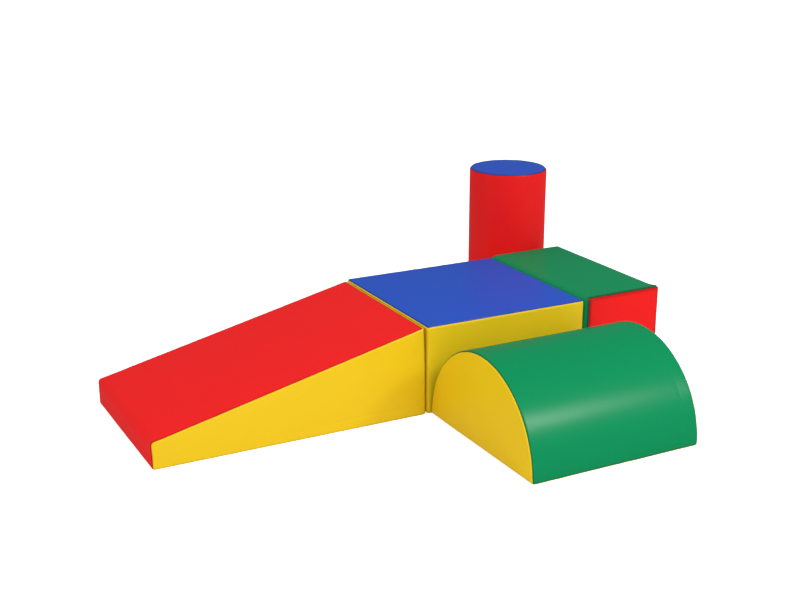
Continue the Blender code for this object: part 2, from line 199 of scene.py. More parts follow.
# How far streaks change a roughness, how fine clouds and streaks are, and how uneven the tape's ribs are
STREAK_SPREAD = 0.06
CLOUD_DETAIL = 5.0
STREAK_DETAIL = 4.0
RIB_DISORDER_SHARE = 0.15
WHITE = (1.0, 1.0, 1.0, 1.0)
PALE_FLOOR = (0.8, 0.8, 0.8, 1.0)
FLOOR_ROUGHNESS = 0.9


# Kinds of settings


def metres(name, note, default):
    """A length."""
    return FloatProperty(name=name, description=note, default=default, unit="LENGTH")


def factor(name, note, default):
    """A share from 0 to 1."""
    return FloatProperty(name=name, description=note, default=default, min=0, max=1, subtype="FACTOR")


def degrees(name, note, default):
    """An angle."""
    return FloatProperty(name=name, description=note, default=math.radians(default), unit="ROTATION")


def watts(name, note, default):
    """The power of a light."""
    return FloatProperty(name=name, description=note, default=default, unit="POWER")


def plain(name, note, default):
    """A number without a unit."""
    return FloatProperty(name=name, description=note, default=default)


def whole(name, note, default):
    """A whole number."""
    return IntProperty(name=name, description=note, default=default)


def tint(name, default):
    """The colour of one vinyl."""
    return FloatVectorProperty(
        name=name, description=f"{name} vinyl", subtype="COLOR", size=3, default=default, min=0, max=1
    )


class CoverSizes(bpy.types.PropertyGroup):
    """Sizes that all the covers share."""

    thickness: metres("Thickness", "Thickness of the coated fabric", 0.0012)
    edge_radius: metres("Edge radius", "Radius of a stuffed edge", 0.008)
    edge_steps: whole("Edge steps", "Facets round a stuffed edge", 6)
    strip: metres("Strip", "Width of the strips that a flat is cut into", 0.0145)
    seam_depth: metres("Seam depth", "How far a seam draws the cover in", 0.0022)
    quiet_seam_depth: metres("Quiet seam depth", "The same at the base and between like panels", 0.0006)
    base_radius: metres("Base radius", "Radius of the edge along the floor", 0.004)
    seam_gap: metres("Seam gap", "Hairline between two sewn panels", 0.0001)
    clearance: metres("Clearance", "Room between a cover and what it touches", 0.0003)
    pucker_height: metres("Pucker height", "Height of the puckers along a seam", 0.0005)
    pucker_length: metres("Pucker length", "Spacing of the puckers along a seam", 0.026)
    pucker_reach: metres("Pucker reach", "How far from its seam a pucker reaches", 0.018)
    ripple_height: metres("Ripple height", "Height of the slack of a flat", 0.0004)
    ripple_length: metres("Ripple length", "Spacing of the slack of a flat", 0.17)
    pressure: plain("Pressure", "Pressure of the foam on its cover", 4.0)


class BlockSizes(bpy.types.PropertyGroup):
    """Sizes of the square block."""

    crown: metres("Top crown", "Swelling of the top", 0.004)
    side_crown: metres("Side crown", "Swelling of the free sides", 0.0015)


class RampSizes(bpy.types.PropertyGroup):
    """Sizes of the ramp."""

    nose_height: metres("Nose height", "Height of the low end", 0.073)
    high_end_height: metres("High end height", "Height of the high end", 0.2485)
    nose_bend: metres("Nose bend", "Radius where the cover bends over the nose", 0.021)
    bend_share: factor("Bend share", "Share of that radius left at the sides", 0.42)
    bend_reach: metres("Bend reach", "How far from the sides the bend is held tight", 0.04)
    nose_crown: metres("Nose crown", "Swelling of the low end", 0.0015)
    end_gap: metres("End gap", "Room between the high end and the block", 0.0018)
    crown: metres("Slope crown", "Swelling of the slope", 0.003)
    side_crown: metres("Side crown", "Swelling of the free sides", 0.0015)
    lean: metres("Lean", "How far the high end's top edge leans back", 0.006)
    lean_reach: metres("Lean reach", "Length of the high end that leans", 0.09)
    crease_level: metres("Crease level", "Height of the crease in the near side", 0.031)
    crease_depth: metres("Crease depth", "Depth of that crease", 0.0005)
    skirt: metres("Skirt", "Swelling of the near side below its crease", 0.0010)


class StepSizes(bpy.types.PropertyGroup):
    """Sizes of the step."""

    crown: metres("Top crown", "Swelling of the top", 0.003)
    side_crown: metres("Side crown", "Swelling of the free side", 0.0015)
    hem: metres("Hem", "Width of the ring beside a let in end's seam", 0.0022)
    wrap_bend: metres("Wrap bend", "Radius where the wrap bends over the left edge", 0.024)
    upright_bend: metres("Upright bend", "Radius of the wrap's upright left edges", 0.0125)
    groove_depth: metres("Groove depth", "How far the seam of a let in end draws in", 0.0045)
    shade_reach: metres("Shade reach", "How far the shade of such a seam reaches", 0.019)
    edge_spread: metres("Edge spread", "How far the front right edge is spread", 0.0025)
    edge_lift: metres("Edge lift", "How far the front top edge is pinched up", 0.0036)
    corner_lift: metres("Corner lift", "How far its right corner is pinched up", 0.0015)
    lift_reach: metres("Lift reach", "How far from the edge the pinch reaches", 0.022)


class HalfRoundSizes(bpy.types.PropertyGroup):
    """Sizes of the half round."""

    depth: metres("Depth", "Depth at the floor", 0.4915)
    height: metres("Height", "Height of the arch", 0.2463)
    arch_steps: whole("Arch steps", "Facets of the whole ellipse", 104)
    end_crown: metres("End crown", "Swelling of the left end", 0.003)
    end_rings: whole("End rings", "Rings that an end is divided into", 12)
    hem_inset: metres("Hem inset", "From the right end to the line of the hem inside", 0.040)
    hem_depth: metres("Hem depth", "Depth of the line that the hem prints", 0.0002)
    flare: metres("Flare", "Swelling of the cover past that line", 0.0007)
    rise: metres("Rise", "How much higher the arch is at the right end", 0.0006)
    corner_radius: metres("Corner radius", "Radius of the lower corners", 0.008)


class CylinderSizes(bpy.types.PropertyGroup):
    """Sizes of the cylinder."""

    diameter: metres("Diameter", "Diameter of the side", 0.245)
    overfill: metres("Overfill", "How much taller the filled cover stands", 0.0013)
    sides: whole("Sides", "Facets round the side", 72)
    crown: metres("Top crown", "Swelling of the top", 0.004)
    end_rings: whole("End rings", "Rings that an end is divided into", 8)


class ZipSizes(bpy.types.PropertyGroup):
    """Sizes of the zips."""

    slot_width: metres("Slot width", "Width of the opening in the cover", 0.0100)
    slot_margin: metres("Slot margin", "Free length of the opening past each stop", 0.001)
    slot_lip: metres("Slot lip", "Radius of the folded edge of the opening", 0.0009)
    lip_steps: whole("Lip steps", "Facets round that edge", 3)
    flat_reach: metres("Flat reach", "How far round a zip its cover swells less", 0.028)
    flat_share: factor("Flat share", "Share of that reach that is quite flat", 0.4)
    tooth_pitch: metres("Tooth pitch", "Spacing of the teeth", 0.0014)
    tooth_width: metres("Tooth width", "Width of a tooth", 0.0046)
    tooth_shift: metres("Tooth shift", "How far every second tooth falls short", 0.0004)
    tooth_turn: degrees("Tooth turn", "Slant of a tooth", 7.0)
    tooth_edge: metres("Tooth edge", "Bevel of a tooth", 0.0003)
    stop_length: metres("Stop length", "Length of an end stop", 0.003)
    stitch_length: metres("Stitch length", "Length of a stitch", 0.0030)
    stitch_pitch: metres("Stitch pitch", "Spacing of the stitches", 0.0038)
    stitch_inset: metres("Stitch inset", "From the slot's edge to the stitches", 0.0025)
    thread: metres("Thread", "Diameter of the thread", 0.0007)
    bead_width: metres("Bead width", "Width of the bead beside the teeth", 0.0014)
    bead_height: metres("Bead height", "Height of the bead beside the teeth", 0.0005)
    tape_step: metres("Tape step", "Spacing of the tape's own ripples", 0.003)
    tape_ripple: metres("Tape ripple", "Height of the tape's own ripples", 0.00005)
    slider_wall: metres("Slider wall", "Wall of the slider", 0.0012)
    slider_edge: metres("Slider edge", "Bevel of the slider", 0.0009)
    slider_play: metres("Slider play", "Room for the teeth in the slider", 0.0006)
    slider_taper: factor("Slider taper", "Width of the slider's rear, as a share", 0.9)


class Finishes(bpy.types.PropertyGroup):
    """Colours, gloss and the shade painted into the colour near the seams."""

    red: tint("Red", (0.735, 0.0095, 0.0095))
    yellow: tint("Yellow", (0.725, 0.484, 0.0108))
    blue: tint("Blue", (0.0163, 0.0725, 0.437))
    green: tint("Green", (0.0010, 0.213, 0.0755))
    roughness: factor("Roughness", "Roughness of the vinyl", 0.305)
    gloss: factor("Gloss", "Strength of the vinyl's glossy coat", 0.25)
    # Shade painted into the vinyl's colour near its seams: how dark it is painted, how dark on yellow, how
    # near a seam it starts, and the share of the colour left at a seam
    seam_shade: factor("Seam shade", "How dark a seam is", 0.97)
    light_seam_shade: factor("Light seam shade", "How dark a yellow seam is", 0.15)
    seam_start: factor("Seam start", "How near a seam its shade starts", 0.56)
    seam_shadow_tone: factor("Seam shadow tone", "Share of its colour that vinyl keeps in a seam", 0.3)
    mottle: factor("Mottle", "How much the colour varies", 0.03)
    grain: metres("Grain", "Spacing of the vinyl's embossed grain", 0.0012)
    grain_depth: metres("Grain depth", "Depth of the vinyl's grain", 0.00005)


class StageSettings(bpy.types.PropertyGroup):
    """Camera, lights and floor."""

    camera_place: FloatVectorProperty(
        name="Camera place",
        description="Where the camera stands",
        subtype="TRANSLATION",
        size=3,
        default=(-1.7769, -3.0049, 1.3315),
    )
    camera_pitch: degrees("Camera pitch", "Tilt up from straight down", 72.21)
    camera_yaw: degrees("Camera yaw", "Turn from the +Y way", -27.67)
    camera_lens: FloatProperty(
        name="Focal length", description="For the sensor's width", default=57.3, unit="CAMERA"
    )
    sensor: FloatProperty(name="Sensor", description="Width of the sensor", default=36.0, unit="CAMERA")
    camera_start: metres("Camera start", "Nearest that the camera sees", 0.05)
    sky: plain("Sky", "Strength of the white surroundings", 0.748)
    sky_gloss: plain("Sky gloss", "Strength of the surroundings in reflections", 0.32)
    floor_glow: plain("Floor glow", "How much lighter the camera sees the floor", 0.7)
    light_distance: metres("Light distance", "Distance of the lights", 4.0)
    key_turn: degrees("Key turn", "Turn of the key light from the front to the right", 26.1)
    key_height: degrees("Key height", "Angle of the key light above the floor", 34.1)
    key_size: metres("Key size", "Width of the key light", 0.655)
    key_power: watts("Key power", "Power of the key light", 30.0)
    gleam_power: watts("Gleam power", "Power of the light beside it that only makes a gleam", 44.0)
    fill_size: metres("Fill size", "Width of a fill light", 1.6)
    front_power: watts("Front power", "Power of the front fill", 24.0)
    high_power: watts("High power", "Power of the high fill", 33.0)
    left_power: watts("Left power", "Power of the left fill", 26.0)
    floor_size: metres("Floor size", "Width of the floor", 60.0)


SETTINGS = {
    "covers": CoverSizes,
    "block": BlockSizes,
    "ramp": RampSizes,
    "step": StepSizes,
    "half_round": HalfRoundSizes,
    "cylinder": CylinderSizes,
    "zips": ZipSizes,
    "finishes": Finishes,
    "stage": StageSettings,
}


def sizes(group):
    """The settings of one group."""
    return getattr(bpy.context.scene, f"softplay_{group}")


# Working on a mesh


def take(*objects):
    """Selects nothing but some objects, the first of them active."""
    bpy.ops.object.select_all(action="DESELECT")
    for obj in objects:
        obj.select_set(True)
    bpy.context.view_layer.objects.active = objects[0]


def add_primitive(operator, name, **options):
    """Adds a primitive with nothing else selected, and names it."""
    bpy.ops.object.select_all(action="DESELECT")
    operator(**options)
    obj = bpy.context.object
    obj.name = name
    obj.data.name = name
    return obj


@contextmanager
def editing(obj):
    """Edit mode on one object, with all of it selected."""
    take(obj)
    bpy.ops.object.mode_set(mode="EDIT")
    bpy.ops.mesh.select_all(action="SELECT")
    yield
    bpy.ops.object.mode_set(mode="OBJECT")


def apply_modifier(obj, kind, **settings):
    """Adds one modifier and applies it."""
    take(obj)
    modifier = obj.modifiers.new(kind.title(), kind)
    for setting, value in settings.items():
        setattr(modifier, setting, value)
    bpy.ops.object.modifier_apply(modifier=modifier.name)


def settle(obj, matrix):
    """Applies a place and a turn to a piece, so that its object stays at the origin."""
    take(obj)
    obj.matrix_world = matrix
    bpy.ops.object.transform_apply(location=True, rotation=True, scale=True)


def join(pieces):
    """Joins pieces into the first of them."""
    take(*pieces)
    bpy.ops.object.join()
    return pieces[0]


def choose(kind, test):
    """In edit mode, selects the verts, edges or faces that pass a test, and counts them."""
    bpy.ops.mesh.select_mode(type=kind.removesuffix("s").upper())
    bpy.ops.mesh.select_all(action="DESELECT")
    mesh = bpy.context.edit_object.data
    bm = bmesh.from_edit_mesh(mesh)
    bm.normal_update()
    chosen = [item for item in getattr(bm, kind) if test(item)]
    for item in chosen:
        item.select_set(True)
    bmesh.update_edit_mesh(mesh, loop_triangles=False, destructive=False)
    return len(chosen)


def is_shape_edge(edge):
    """Whether an edge belongs to the outline of the shape, and not to its facets."""
    return len(edge.link_faces) == 2 and edge.calc_face_angle() > SHAPE_EDGE_ANGLE


def round_edges(test, radius):
    """In edit mode, rounds the edges that pass a test."""
    choose("edges", test)
    bpy.ops.mesh.bevel(offset=radius, segments=sizes("covers").edge_steps, affect="EDGES")


def slice_at(way, place):
    """In edit mode, cuts the whole mesh across a way at one place along it."""
    bpy.ops.mesh.select_all(action="SELECT")
    bpy.ops.mesh.bisect(plane_co=way * place, plane_no=way)


def slice_evenly(way, low, high):
    """In edit mode, cuts the mesh into strips of about one width between two places."""
    count = max(2, round((high - low) / sizes("covers").strip))
    for number in range(1, count):
        slice_at(way, low + (high - low) * number / count)


def slice_for_line(way, place):
    """In edit mode, cuts the mesh along a line that is pressed in, and at both sides of it."""
    for row in (-1, 0, 1):
        slice_at(way, place + row * sizes("covers").seam_depth)


def fan_out(way, rings):
    """In edit mode, divides the flat that looks one way into a fan with rings."""
    bm = bmesh.from_edit_mesh(bpy.context.edit_object.data)
    bm.normal_update()
    flat = max(bm.faces, key=lambda face: face.normal.dot(way) * face.calc_area())
    choose("faces", lambda face: face == flat)
    bpy.ops.mesh.poke()
    bm = bmesh.from_edit_mesh(bpy.context.edit_object.data)
    middle = max((vert for vert in bm.verts if vert.select), key=lambda vert: len(vert.link_edges))
    spokes = set(middle.link_edges)
    choose("edges", lambda edge: edge in spokes)
    bpy.ops.mesh.subdivide(number_cuts=rings - 1)


def with_normals(obj):
    """Each vertex with the way that it looked before any of them moved."""
    normals = [vert.normal.copy() for vert in obj.data.vertices]
    return zip(obj.data.vertices, normals)


def smooth_step(share):
    """A share from 0 to 1, eased at both ends."""
    share = min(1.0, max(0.0, share))
    return share * share * (3.0 - 2.0 * share)


def bell(distance, reach):
    """1 at a place, fading to nearly 0 at twice a reach from it."""
    return math.exp(-((distance / reach) ** 2))


# From a skin to sewn panels


def mark_panels(obj, panels):
    """Gives each face to the panel that pulls it the strongest, in a material slot under the panel's name.

    How long a way is says how strong it pulls. A lone face goes to the panel that is beside it the most.
    """
    mesh = obj.data
    for name in panels:
        mesh.materials.append(bpy.data.materials.get(name) or bpy.data.materials.new(name))
    beside = {}
    for face in mesh.polygons:
        pulls = [max(face.normal.dot(way) for way in ways) for ways, _ in panels.values()]
        face.material_index = pulls.index(max(pulls))
        for key in face.edge_keys:
            beside.setdefault(key, set()).add(face.index)
    for face in mesh.polygons:
        others = set().union(*(beside[key] for key in face.edge_keys)) - {face.index}
        near = [mesh.polygons[number].material_index for number in sorted(others)]
        if near and face.material_index not in near:
            face.material_index = max(sorted(set(near)), key=near.count)


def panels_at_verts(mesh):
    """The numbers of the panels at each vertex."""
    found = [set() for _ in mesh.vertices]
    for polygon in mesh.polygons:
        for number in polygon.vertices:
            found[number].add(polygon.material_index)
    return found


def seam_verts(mesh):
    """The numbers of the vertices where two panels meet."""
    return [number for number, panels in enumerate(panels_at_verts(mesh)) if len(panels) > 1]


def tighten_base(obj):
    """Tightens the rounded edge along the floor to a smaller radius, but not on the left."""
    radius, base_radius = sizes("covers").edge_radius, sizes("covers").base_radius
    for vert, normal in with_normals(obj):
        level = Vector((normal.x, normal.y, 0.0))
        high = vert.co.z > radius + NEAR
        if high or level.length < NEAR or level.normalized().dot(LEFT) > FACING_SHARE:
            continue
        turned = math.sqrt(max(0.0, 1.0 - (1.0 - vert.co.z / radius) ** 2))
        vert.co += level.normalized() * (radius - base_radius) * (1.0 - turned)
        vert.co.z *= base_radius / radius


def blow_up(obj, held):
    """How far cloth that is held at some vertices swells under pressure, at each vertex."""
    rest = [vert.co.copy() for vert in obj.data.vertices]
    outward = [vert.normal.copy() for vert in obj.data.vertices]
    group = obj.vertex_groups.new(name="held")
    group.add(held, 1.0, "ADD")
    cloth = obj.modifiers.new("Cloth", "CLOTH")
    for setting, value in CLOTH.items():
        setattr(cloth.settings, setting, value)
    cloth.settings.uniform_pressure_force = sizes("covers").pressure
    cloth.settings.vertex_group_mass = group.name
    cloth.settings.effector_weights.gravity = 0.0
    cloth.collision_settings.use_self_collision = False
    for number in range(1, CLOTH_FRAMES + 1):
        bpy.context.scene.frame_set(number)
    take(obj)
    bpy.ops.object.modifier_apply(modifier=cloth.name)
    obj.vertex_groups.clear()
    bpy.context.scene.frame_set(1)
    moves = [(vert.co - place).dot(way) for vert, place, way in zip(obj.data.vertices, rest, outward)]
    for vert, place in zip(obj.data.vertices, rest):
        vert.co = place
    return [max(0.0, move) for move in moves]


def tree_of(places, numbers):
    """A search tree of some of the places."""
    tree = KDTree(len(numbers))
    for number in numbers:
        tree.insert(places[number], number)
    tree.balance()
    return tree


def still(*ways):
    """The crowns of sides that don't swell."""
    return [(way, 0.0) for way in ways]


def stuff(obj, crowns, keep_flat):
    """Swells each side of a skin up to its crown, in the shape that cloth takes under pressure."""
    normals = [vert.normal.copy() for vert in obj.data.vertices]
    sides = []
    for normal in normals:
        turns = [normal.dot(way) for way, _ in crowns]
        sides.append(turns.index(max(turns)))
    held = set(seam_verts(obj.data))
    held.update(number for number, side in enumerate(sides) if crowns[side][1] == 0.0)
    swells = blow_up(obj, sorted(held))
    most = [0.0] * len(crowns)
    for side, swell in zip(sides, swells):
        most[side] = max(most[side], swell)
    for vert, normal, side, swell in zip(obj.data.vertices, normals, sides, swells):
        if most[side] > 0.0:
            crown = crowns[side][1] * swell / most[side]
            vert.co += normal * (crown * keep_flat(vert.co))
    obj.data.update()


def sew(obj, panels, depth=0.0, quiet=""):
    """Draws the seams in, but less at the base, at a quiet panel and between panels of one colour."""
    covers = sizes("covers")
    names = list(panels)
    faced = list(with_normals(obj))
    for (vert, normal), numbers in zip(faced, panels_at_verts(obj.data)):
        if len(numbers) > 1:
            facts = [panels[names[number]] for number in numbers]
            small = any(ways[0].dot(DOWN) > 0.0 for ways, _ in facts)
            small = small or quiet in [names[number] for number in numbers]
            small = small or len({colour_name for _, colour_name in facts}) == 1
            vert.co -= normal * (covers.quiet_seam_depth if small else depth or covers.seam_depth)
    obj.data.update()


def refine(obj):
    """One subdivision of the whole skin."""
    apply_modifier(obj, "SUBSURF", levels=1, render_levels=1)


def pucker(obj, still_ways, keep_flat, shade_reach=0.0):
    """Puckers the cover along its seams, ripples its flats, and notes how near each vertex is to a seam."""
    covers = sizes("covers")
    shade_reach = shade_reach or covers.edge_radius
    tree = tree_of([vert.co.copy() for vert in obj.data.vertices], seam_verts(obj.data))
    # This nearness is the mask of the shade painted into the vinyl's colour near its seams
    nearness = obj.data.attributes.new("seam", "FLOAT", "POINT")
    for vert, normal in with_normals(obj):
        distance = tree.find(vert.co)[2]
        nearness.data[vert.index].value = math.exp(-distance / shade_reach)
        if any(normal.dot(way) > FACING_SHARE for way in still_ways):
            continue
        near = bell(distance, covers.pucker_reach)
        move = covers.pucker_height * near * noise.noise(vert.co / covers.pucker_length)
        move += covers.ripple_height * (1.0 - near) * noise.noise(vert.co / covers.ripple_length)
        vert.co += normal * (move * keep_flat(vert.co))
    for vert in obj.data.vertices:
        vert.co.z = max(0.0, vert.co.z)
    obj.data.update()


def part_panels(obj, panels):
    """Parts a sewn skin along its seams, and returns each panel by name."""
    before = set(bpy.data.objects)
    with editing(obj):
        bpy.ops.mesh.separate(type="MATERIAL")
    parts = [obj] + [other for other in bpy.data.objects if other not in before]
    found = {part.data.materials[part.data.polygons[0].material_index].name: part for part in parts}
    if set(found) != set(panels):
        raise RuntimeError(f"The skin has the panels {sorted(found)}")
    return found


def thicken(panel):
    """Draws a panel back from its neighbours by half the seam's gap and gives it its thickness."""
    covers = sizes("covers")
    with editing(panel):
        bpy.ops.mesh.select_mode(type="FACE")
        bpy.ops.mesh.select_all(action="SELECT")
        bpy.ops.mesh.inset(thickness=covers.seam_gap / 2, use_boundary=True, use_even_offset=True)
        bpy.ops.mesh.select_all(action="INVERT")
        bpy.ops.mesh.delete(type="FACE")
    apply_modifier(panel, "SOLIDIFY", thickness=covers.thickness, offset=-1.0, use_even_offset=False)
    bpy.ops.object.shade_smooth_by_angle(angle=PANEL_SMOOTH_ANGLE)


def finish_piece(obj, name, body, material, nodes=()):
    """Names a piece, dresses it and tells the frame what it is."""
    obj.name = name
    obj.data.name = name
    obj.data.materials.clear()
    obj.data.materials.append(material)
    for polygon in obj.data.polygons:
        polygon.material_index = 0
    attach(obj, body)
    if nodes:
        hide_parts(*nodes)


def dress_shape(skin, body, panels, middle):
    """Parts a finished skin into its panels, each with its thickness, finish and place in the frame."""
    add_foam(skin, body, middle)
    settle(skin, Matrix.Translation(middle))
    found = part_panels(skin, panels)
    for name, (_, colour_name) in panels.items():
        panel = found[name]
        has_zip = ZIPS[body][0] == name
        if has_zip:
            open_slot(panel, body)
        thicken(panel)
        if has_zip:
            fold_lip(panel, body)
        piece_name = name.replace("_cover", "_vinyl")
        finish_piece(panel, piece_name, body, vinyl_of(colour_name), [name])


def add_foam(skin, body, middle):
    """The foam inside a skin: a copy drawn in by the cover's thickness, with room for the zip's tape."""
    covers = sizes("covers")
    flat = flat_round_zip(body, middle)
    tape_low, tape_high = box_in_zip(body, "tape")
    foam = skin.copy()
    foam.data = skin.data.copy()
    bpy.context.scene.collection.objects.link(foam)
    apply_modifier(foam, "DECIMATE", decimate_type="UNSUBDIV", iterations=2)
    depth = covers.thickness + covers.clearance
    tape_room = tape_high.z - tape_low.z + covers.clearance
    for vert, normal in with_normals(foam):
        vert.co -= normal * (depth + tape_room * (1.0 - flat(vert.co)))
    settle(foam, Matrix.Translation(middle))
    bpy.ops.object.shade_smooth_by_angle(angle=SMOOTH_ANGLE)
    material = material_of("cut_foam", paint_foam, FOAM)
    finish_piece(foam, f"{body}_foam", body, material, [f"{body}_foam_core"])


# Skins


def box_skin(length, depth, low_height, high_height, left_bend=0.0, left_radii=()):
    """A closed shape with six sides, its top climbing from -X to +X, all its edges rounded, on the floor.

    It may have a larger bend over its left top edge, or radii of their own on its left top and upright edges.
    """
    inside = sizes("covers").edge_radius
    skin = add_primitive(bpy.ops.mesh.primitive_cube_add, "skin", size=1.0)
    with editing(skin):
        bpy.ops.transform.resize(value=(length, depth, high_height))
        bpy.ops.transform.translate(value=UP * (high_height / 2))
        choose("verts", lambda vert: vert.co.x < 0.0 and vert.co.z > NEAR)
        bpy.ops.transform.translate(value=UP * (low_height - high_height))
        if left_bend > 0.0:
            round_edges(lambda edge: all(v.co.x < 0.0 and v.co.z > NEAR for v in edge.verts), left_bend)
        if not left_radii:
            round_edges(is_shape_edge, inside)
    if left_radii:
        round_left_more(skin, inside, *left_radii)
    with editing(skin):
        slice_evenly(RIGHT, -length / 2 + inside, length / 2 - inside)
        slice_evenly(BACK, -depth / 2 + inside, depth / 2 - inside)
        slice_evenly(UP, inside, high_height - inside)
    tighten_base(skin)
    return skin


def round_left_more(obj, radius, top_radius, upright_radius):
    """Rounds every edge of a box, and more so its top and its upright edges on the left."""
    weights = obj.data.attributes.new("bevel_weight_edge", "FLOAT", "EDGE")
    for edge in obj.data.edges:
        ends = [obj.data.vertices[number].co for number in edge.vertices]
        wanted = radius
        if all(end.x < 0.0 for end in ends) and any(end.z > NEAR for end in ends):
            wanted = top_radius if all(end.z > NEAR for end in ends) else upright_radius
        weights.data[edge.index].value = wanted / top_radius
    apply_modifier(obj, "BEVEL", width=top_radius, segments=sizes("covers").edge_steps, limit_method="WEIGHT")


def span(*nodes):
    """The lowest and highest corners of some CAD nodes."""
    corners = [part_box(node) for node in nodes]
    low = Vector([min(corner[0][axis] for corner in corners) for axis in range(3)])
    high = Vector([max(corner[1][axis] for corner in corners) for axis in range(3)])
    return low, high


def middle_of(low, high):
    """The middle of a span, on the floor."""
    return Vector(((low.x + high.x) / 2, (low.y + high.y) / 2, 0.0))


def drum(**options):
    """A plain cylinder to start a round skin with."""
    skin = add_primitive(bpy.ops.mesh.primitive_cylinder_add, "skin", end_fill_type="NGON", **options)
    bpy.ops.object.transform_apply(location=True, rotation=True, scale=True)
    return skin


def shape_drum(ends, way, rings, low, high):
    """In edit mode, rounds the edges of a drum, divides its ends into fans and its side into strips."""
    inside = sizes("covers").edge_radius
    round_edges(is_shape_edge, inside)
    for end in ends:
        fan_out(end, rings)
    slice_evenly(way, low + inside, high - inside)


# Materials


def material_of(name, paint, facts):
    """The material of a name, which is painted when it is new."""
    material = bpy.data.materials.get(name)
    if material is None:
        material = bpy.data.materials.new(name)
        material.use_nodes = True
        tree = material.node_tree
        paint(tree, tree.nodes["Principled BSDF"], **facts)
    return material


def feed(tree, node, inputs):
    """Gives inputs of a node their values, or links them to other nodes' outputs."""
    for name, value in inputs.items():
        if isinstance(value, bpy.types.NodeSocket):
            tree.links.new(value, node.inputs[name])
        else:
            node.inputs[name].default_value = value


def add_node(tree, kind, inputs=None, **settings):
    """A new shader node with its settings and inputs."""
    node = tree.nodes.new(f"ShaderNode{kind}")
    for setting, value in settings.items():
        setattr(node, setting, value)
    feed(tree, node, inputs or {})
    return node


def pattern(tree, kind, inputs, **settings):
    """A texture node on Object coordinates."""
    place = add_node(tree, "TexCoord").outputs["Object"]
    return add_node(tree, f"Tex{kind}", {"Vector": place, **inputs}, **settings)


def two_colours(tree, shader, mask, colours):
    """Colours a shader from one colour to another by a mask."""
    ramp = add_node(tree, "ValToRGB", {"Fac": mask})
    for element, colour in zip(ramp.color_ramp.elements, colours):
        element.color = (*colour, 1.0)
    feed(tree, shader, {"Base Color": ramp.outputs["Color"]})


def emboss(tree, shader, height, strength, depth, invert=False):
    """Embosses a pattern in a shader, and returns the ways that the surface then looks."""
    bump = add_node(tree, "Bump", {"Strength": strength, "Distance": depth, "Height": height}, invert=invert)
    feed(tree, shader, {"Normal": bump.outputs["Normal"]})
    return bump.outputs["Normal"]


def toned(colour, share):
    """A share of a colour."""
    return (*[min(1.0, part * share) for part in colour], 1.0)


def grain_group():
    """Embossed leather grain of the vinyl, with a fine mottle and the nearness to the seams, where shade is
    painted.
    """
    group = bpy.data.node_groups.get("Vinyl grain")
    if group is not None:
        return group
    group = bpy.data.node_groups.new("Vinyl grain", "ShaderNodeTree")
    group.interface.new_socket(name="Grain Scale", in_out="INPUT", socket_type="NodeSocketFloat")
    for name in ("Height", "Mottle", "Seam"):
        group.interface.new_socket(name=name, in_out="OUTPUT", socket_type="NodeSocketFloat")
    start = group.nodes.new("NodeGroupInput")
    end = group.nodes.new("NodeGroupOutput")
    cell_facts = {"Smoothness": VINYL["cell_softness"], "Scale": start.outputs["Grain Scale"]}
    cells = pattern(group, "Voronoi", cell_facts, feature="SMOOTH_F1")
    specks = pattern(group, "Noise", {"Scale": VINYL["specks"]})
    height_facts = {0: specks.outputs["Fac"], 1: VINYL["speck_share"], 2: cells.outputs["Distance"]}
    height = add_node(group, "Math", height_facts, operation="MULTIPLY_ADD")
    mottle = pattern(group, "Noise", {"Scale": VINYL["clouds"], "Detail": CLOUD_DETAIL})
    seam = add_node(group, "Attribute", attribute_name="seam")
    feed(group, end, {"Height": height.outputs["Value"]})
    feed(group, end, {"Mottle": mottle.outputs["Fac"], "Seam": seam.outputs["Fac"]})
    return group


def vinyl_of(colour_name):
    """The vinyl of one of the set's four colours."""
    finishes = sizes("finishes")
    seam_shade = finishes.light_seam_shade if colour_name == "yellow" else finishes.seam_shade
    facts = {"colour": getattr(finishes, colour_name), "seam_shade": seam_shade}
    return material_of(f"{colour_name}_vinyl", paint_vinyl, facts)


def paint_vinyl(tree, shader, colour, seam_shade):
    """Coated fabric of one colour, with shade painted into its colour near its seams."""
    finishes = sizes("finishes")
    grain = add_node(tree, "Group", node_tree=grain_group())
    feed(tree, grain, {"Grain Scale": 1.0 / finishes.grain})
    mottle = grain.outputs["Mottle"]
    shade_facts = {
        "Factor": mottle,
        "A": toned(colour, 1.0 - finishes.mottle),
        "B": toned(colour, 1.0 + finishes.mottle),
    }
    shade = add_node(tree, "Mix", shade_facts, data_type="RGBA")
    # Painted shade: near a seam the colour is mixed towards a dark share of itself, where the seam's shadow
    # falls
    seam_facts = {"Value": grain.outputs["Seam"], "From Min": finishes.seam_start, "To Max": seam_shade}
    in_seam = add_node(tree, "MapRange", seam_facts)
    seam_shadow_facts = {
        "Factor": in_seam.outputs["Result"],
        "A": shade.outputs["Result"],
        "B": toned(colour, finishes.seam_shadow_tone),
    }
    seam_shadow_tone = add_node(tree, "Mix", seam_shadow_facts, data_type="RGBA")
    feed(tree, shader, {"Base Color": seam_shadow_tone.outputs["Result"], "Specular IOR Level": 0.0})
    spread_levels = (
        ("Roughness", finishes.roughness, VINYL["roughness_spread"]),
        ("Coat Weight", finishes.gloss, VINYL["gloss_spread"]),
    )
    for socket, middle, spread in spread_levels:
        ends = {"To Min": middle * (1.0 + spread), "To Max": middle * (1.0 - spread)}
        level = add_node(tree, "MapRange", {"Value": mottle, **ends})
        feed(tree, shader, {socket: level.outputs["Result"]})
    normal = emboss(tree, shader, grain.outputs["Height"], VINYL["strength"], finishes.grain_depth)
    feed(tree, shader, {"Coat Normal": normal, "Coat Roughness": finishes.roughness})


def paint_foam(tree, shader, marks, colours, roughness, strength, depth):
    """Cut polyethylene foam: off-white, with closed cells."""
    cells = pattern(tree, "Voronoi", {"Scale": marks}).outputs["Distance"]
    two_colours(tree, shader, cells, colours)
    emboss(tree, shader, cells, strength, depth)
    feed(tree, shader, {"Roughness": roughness})


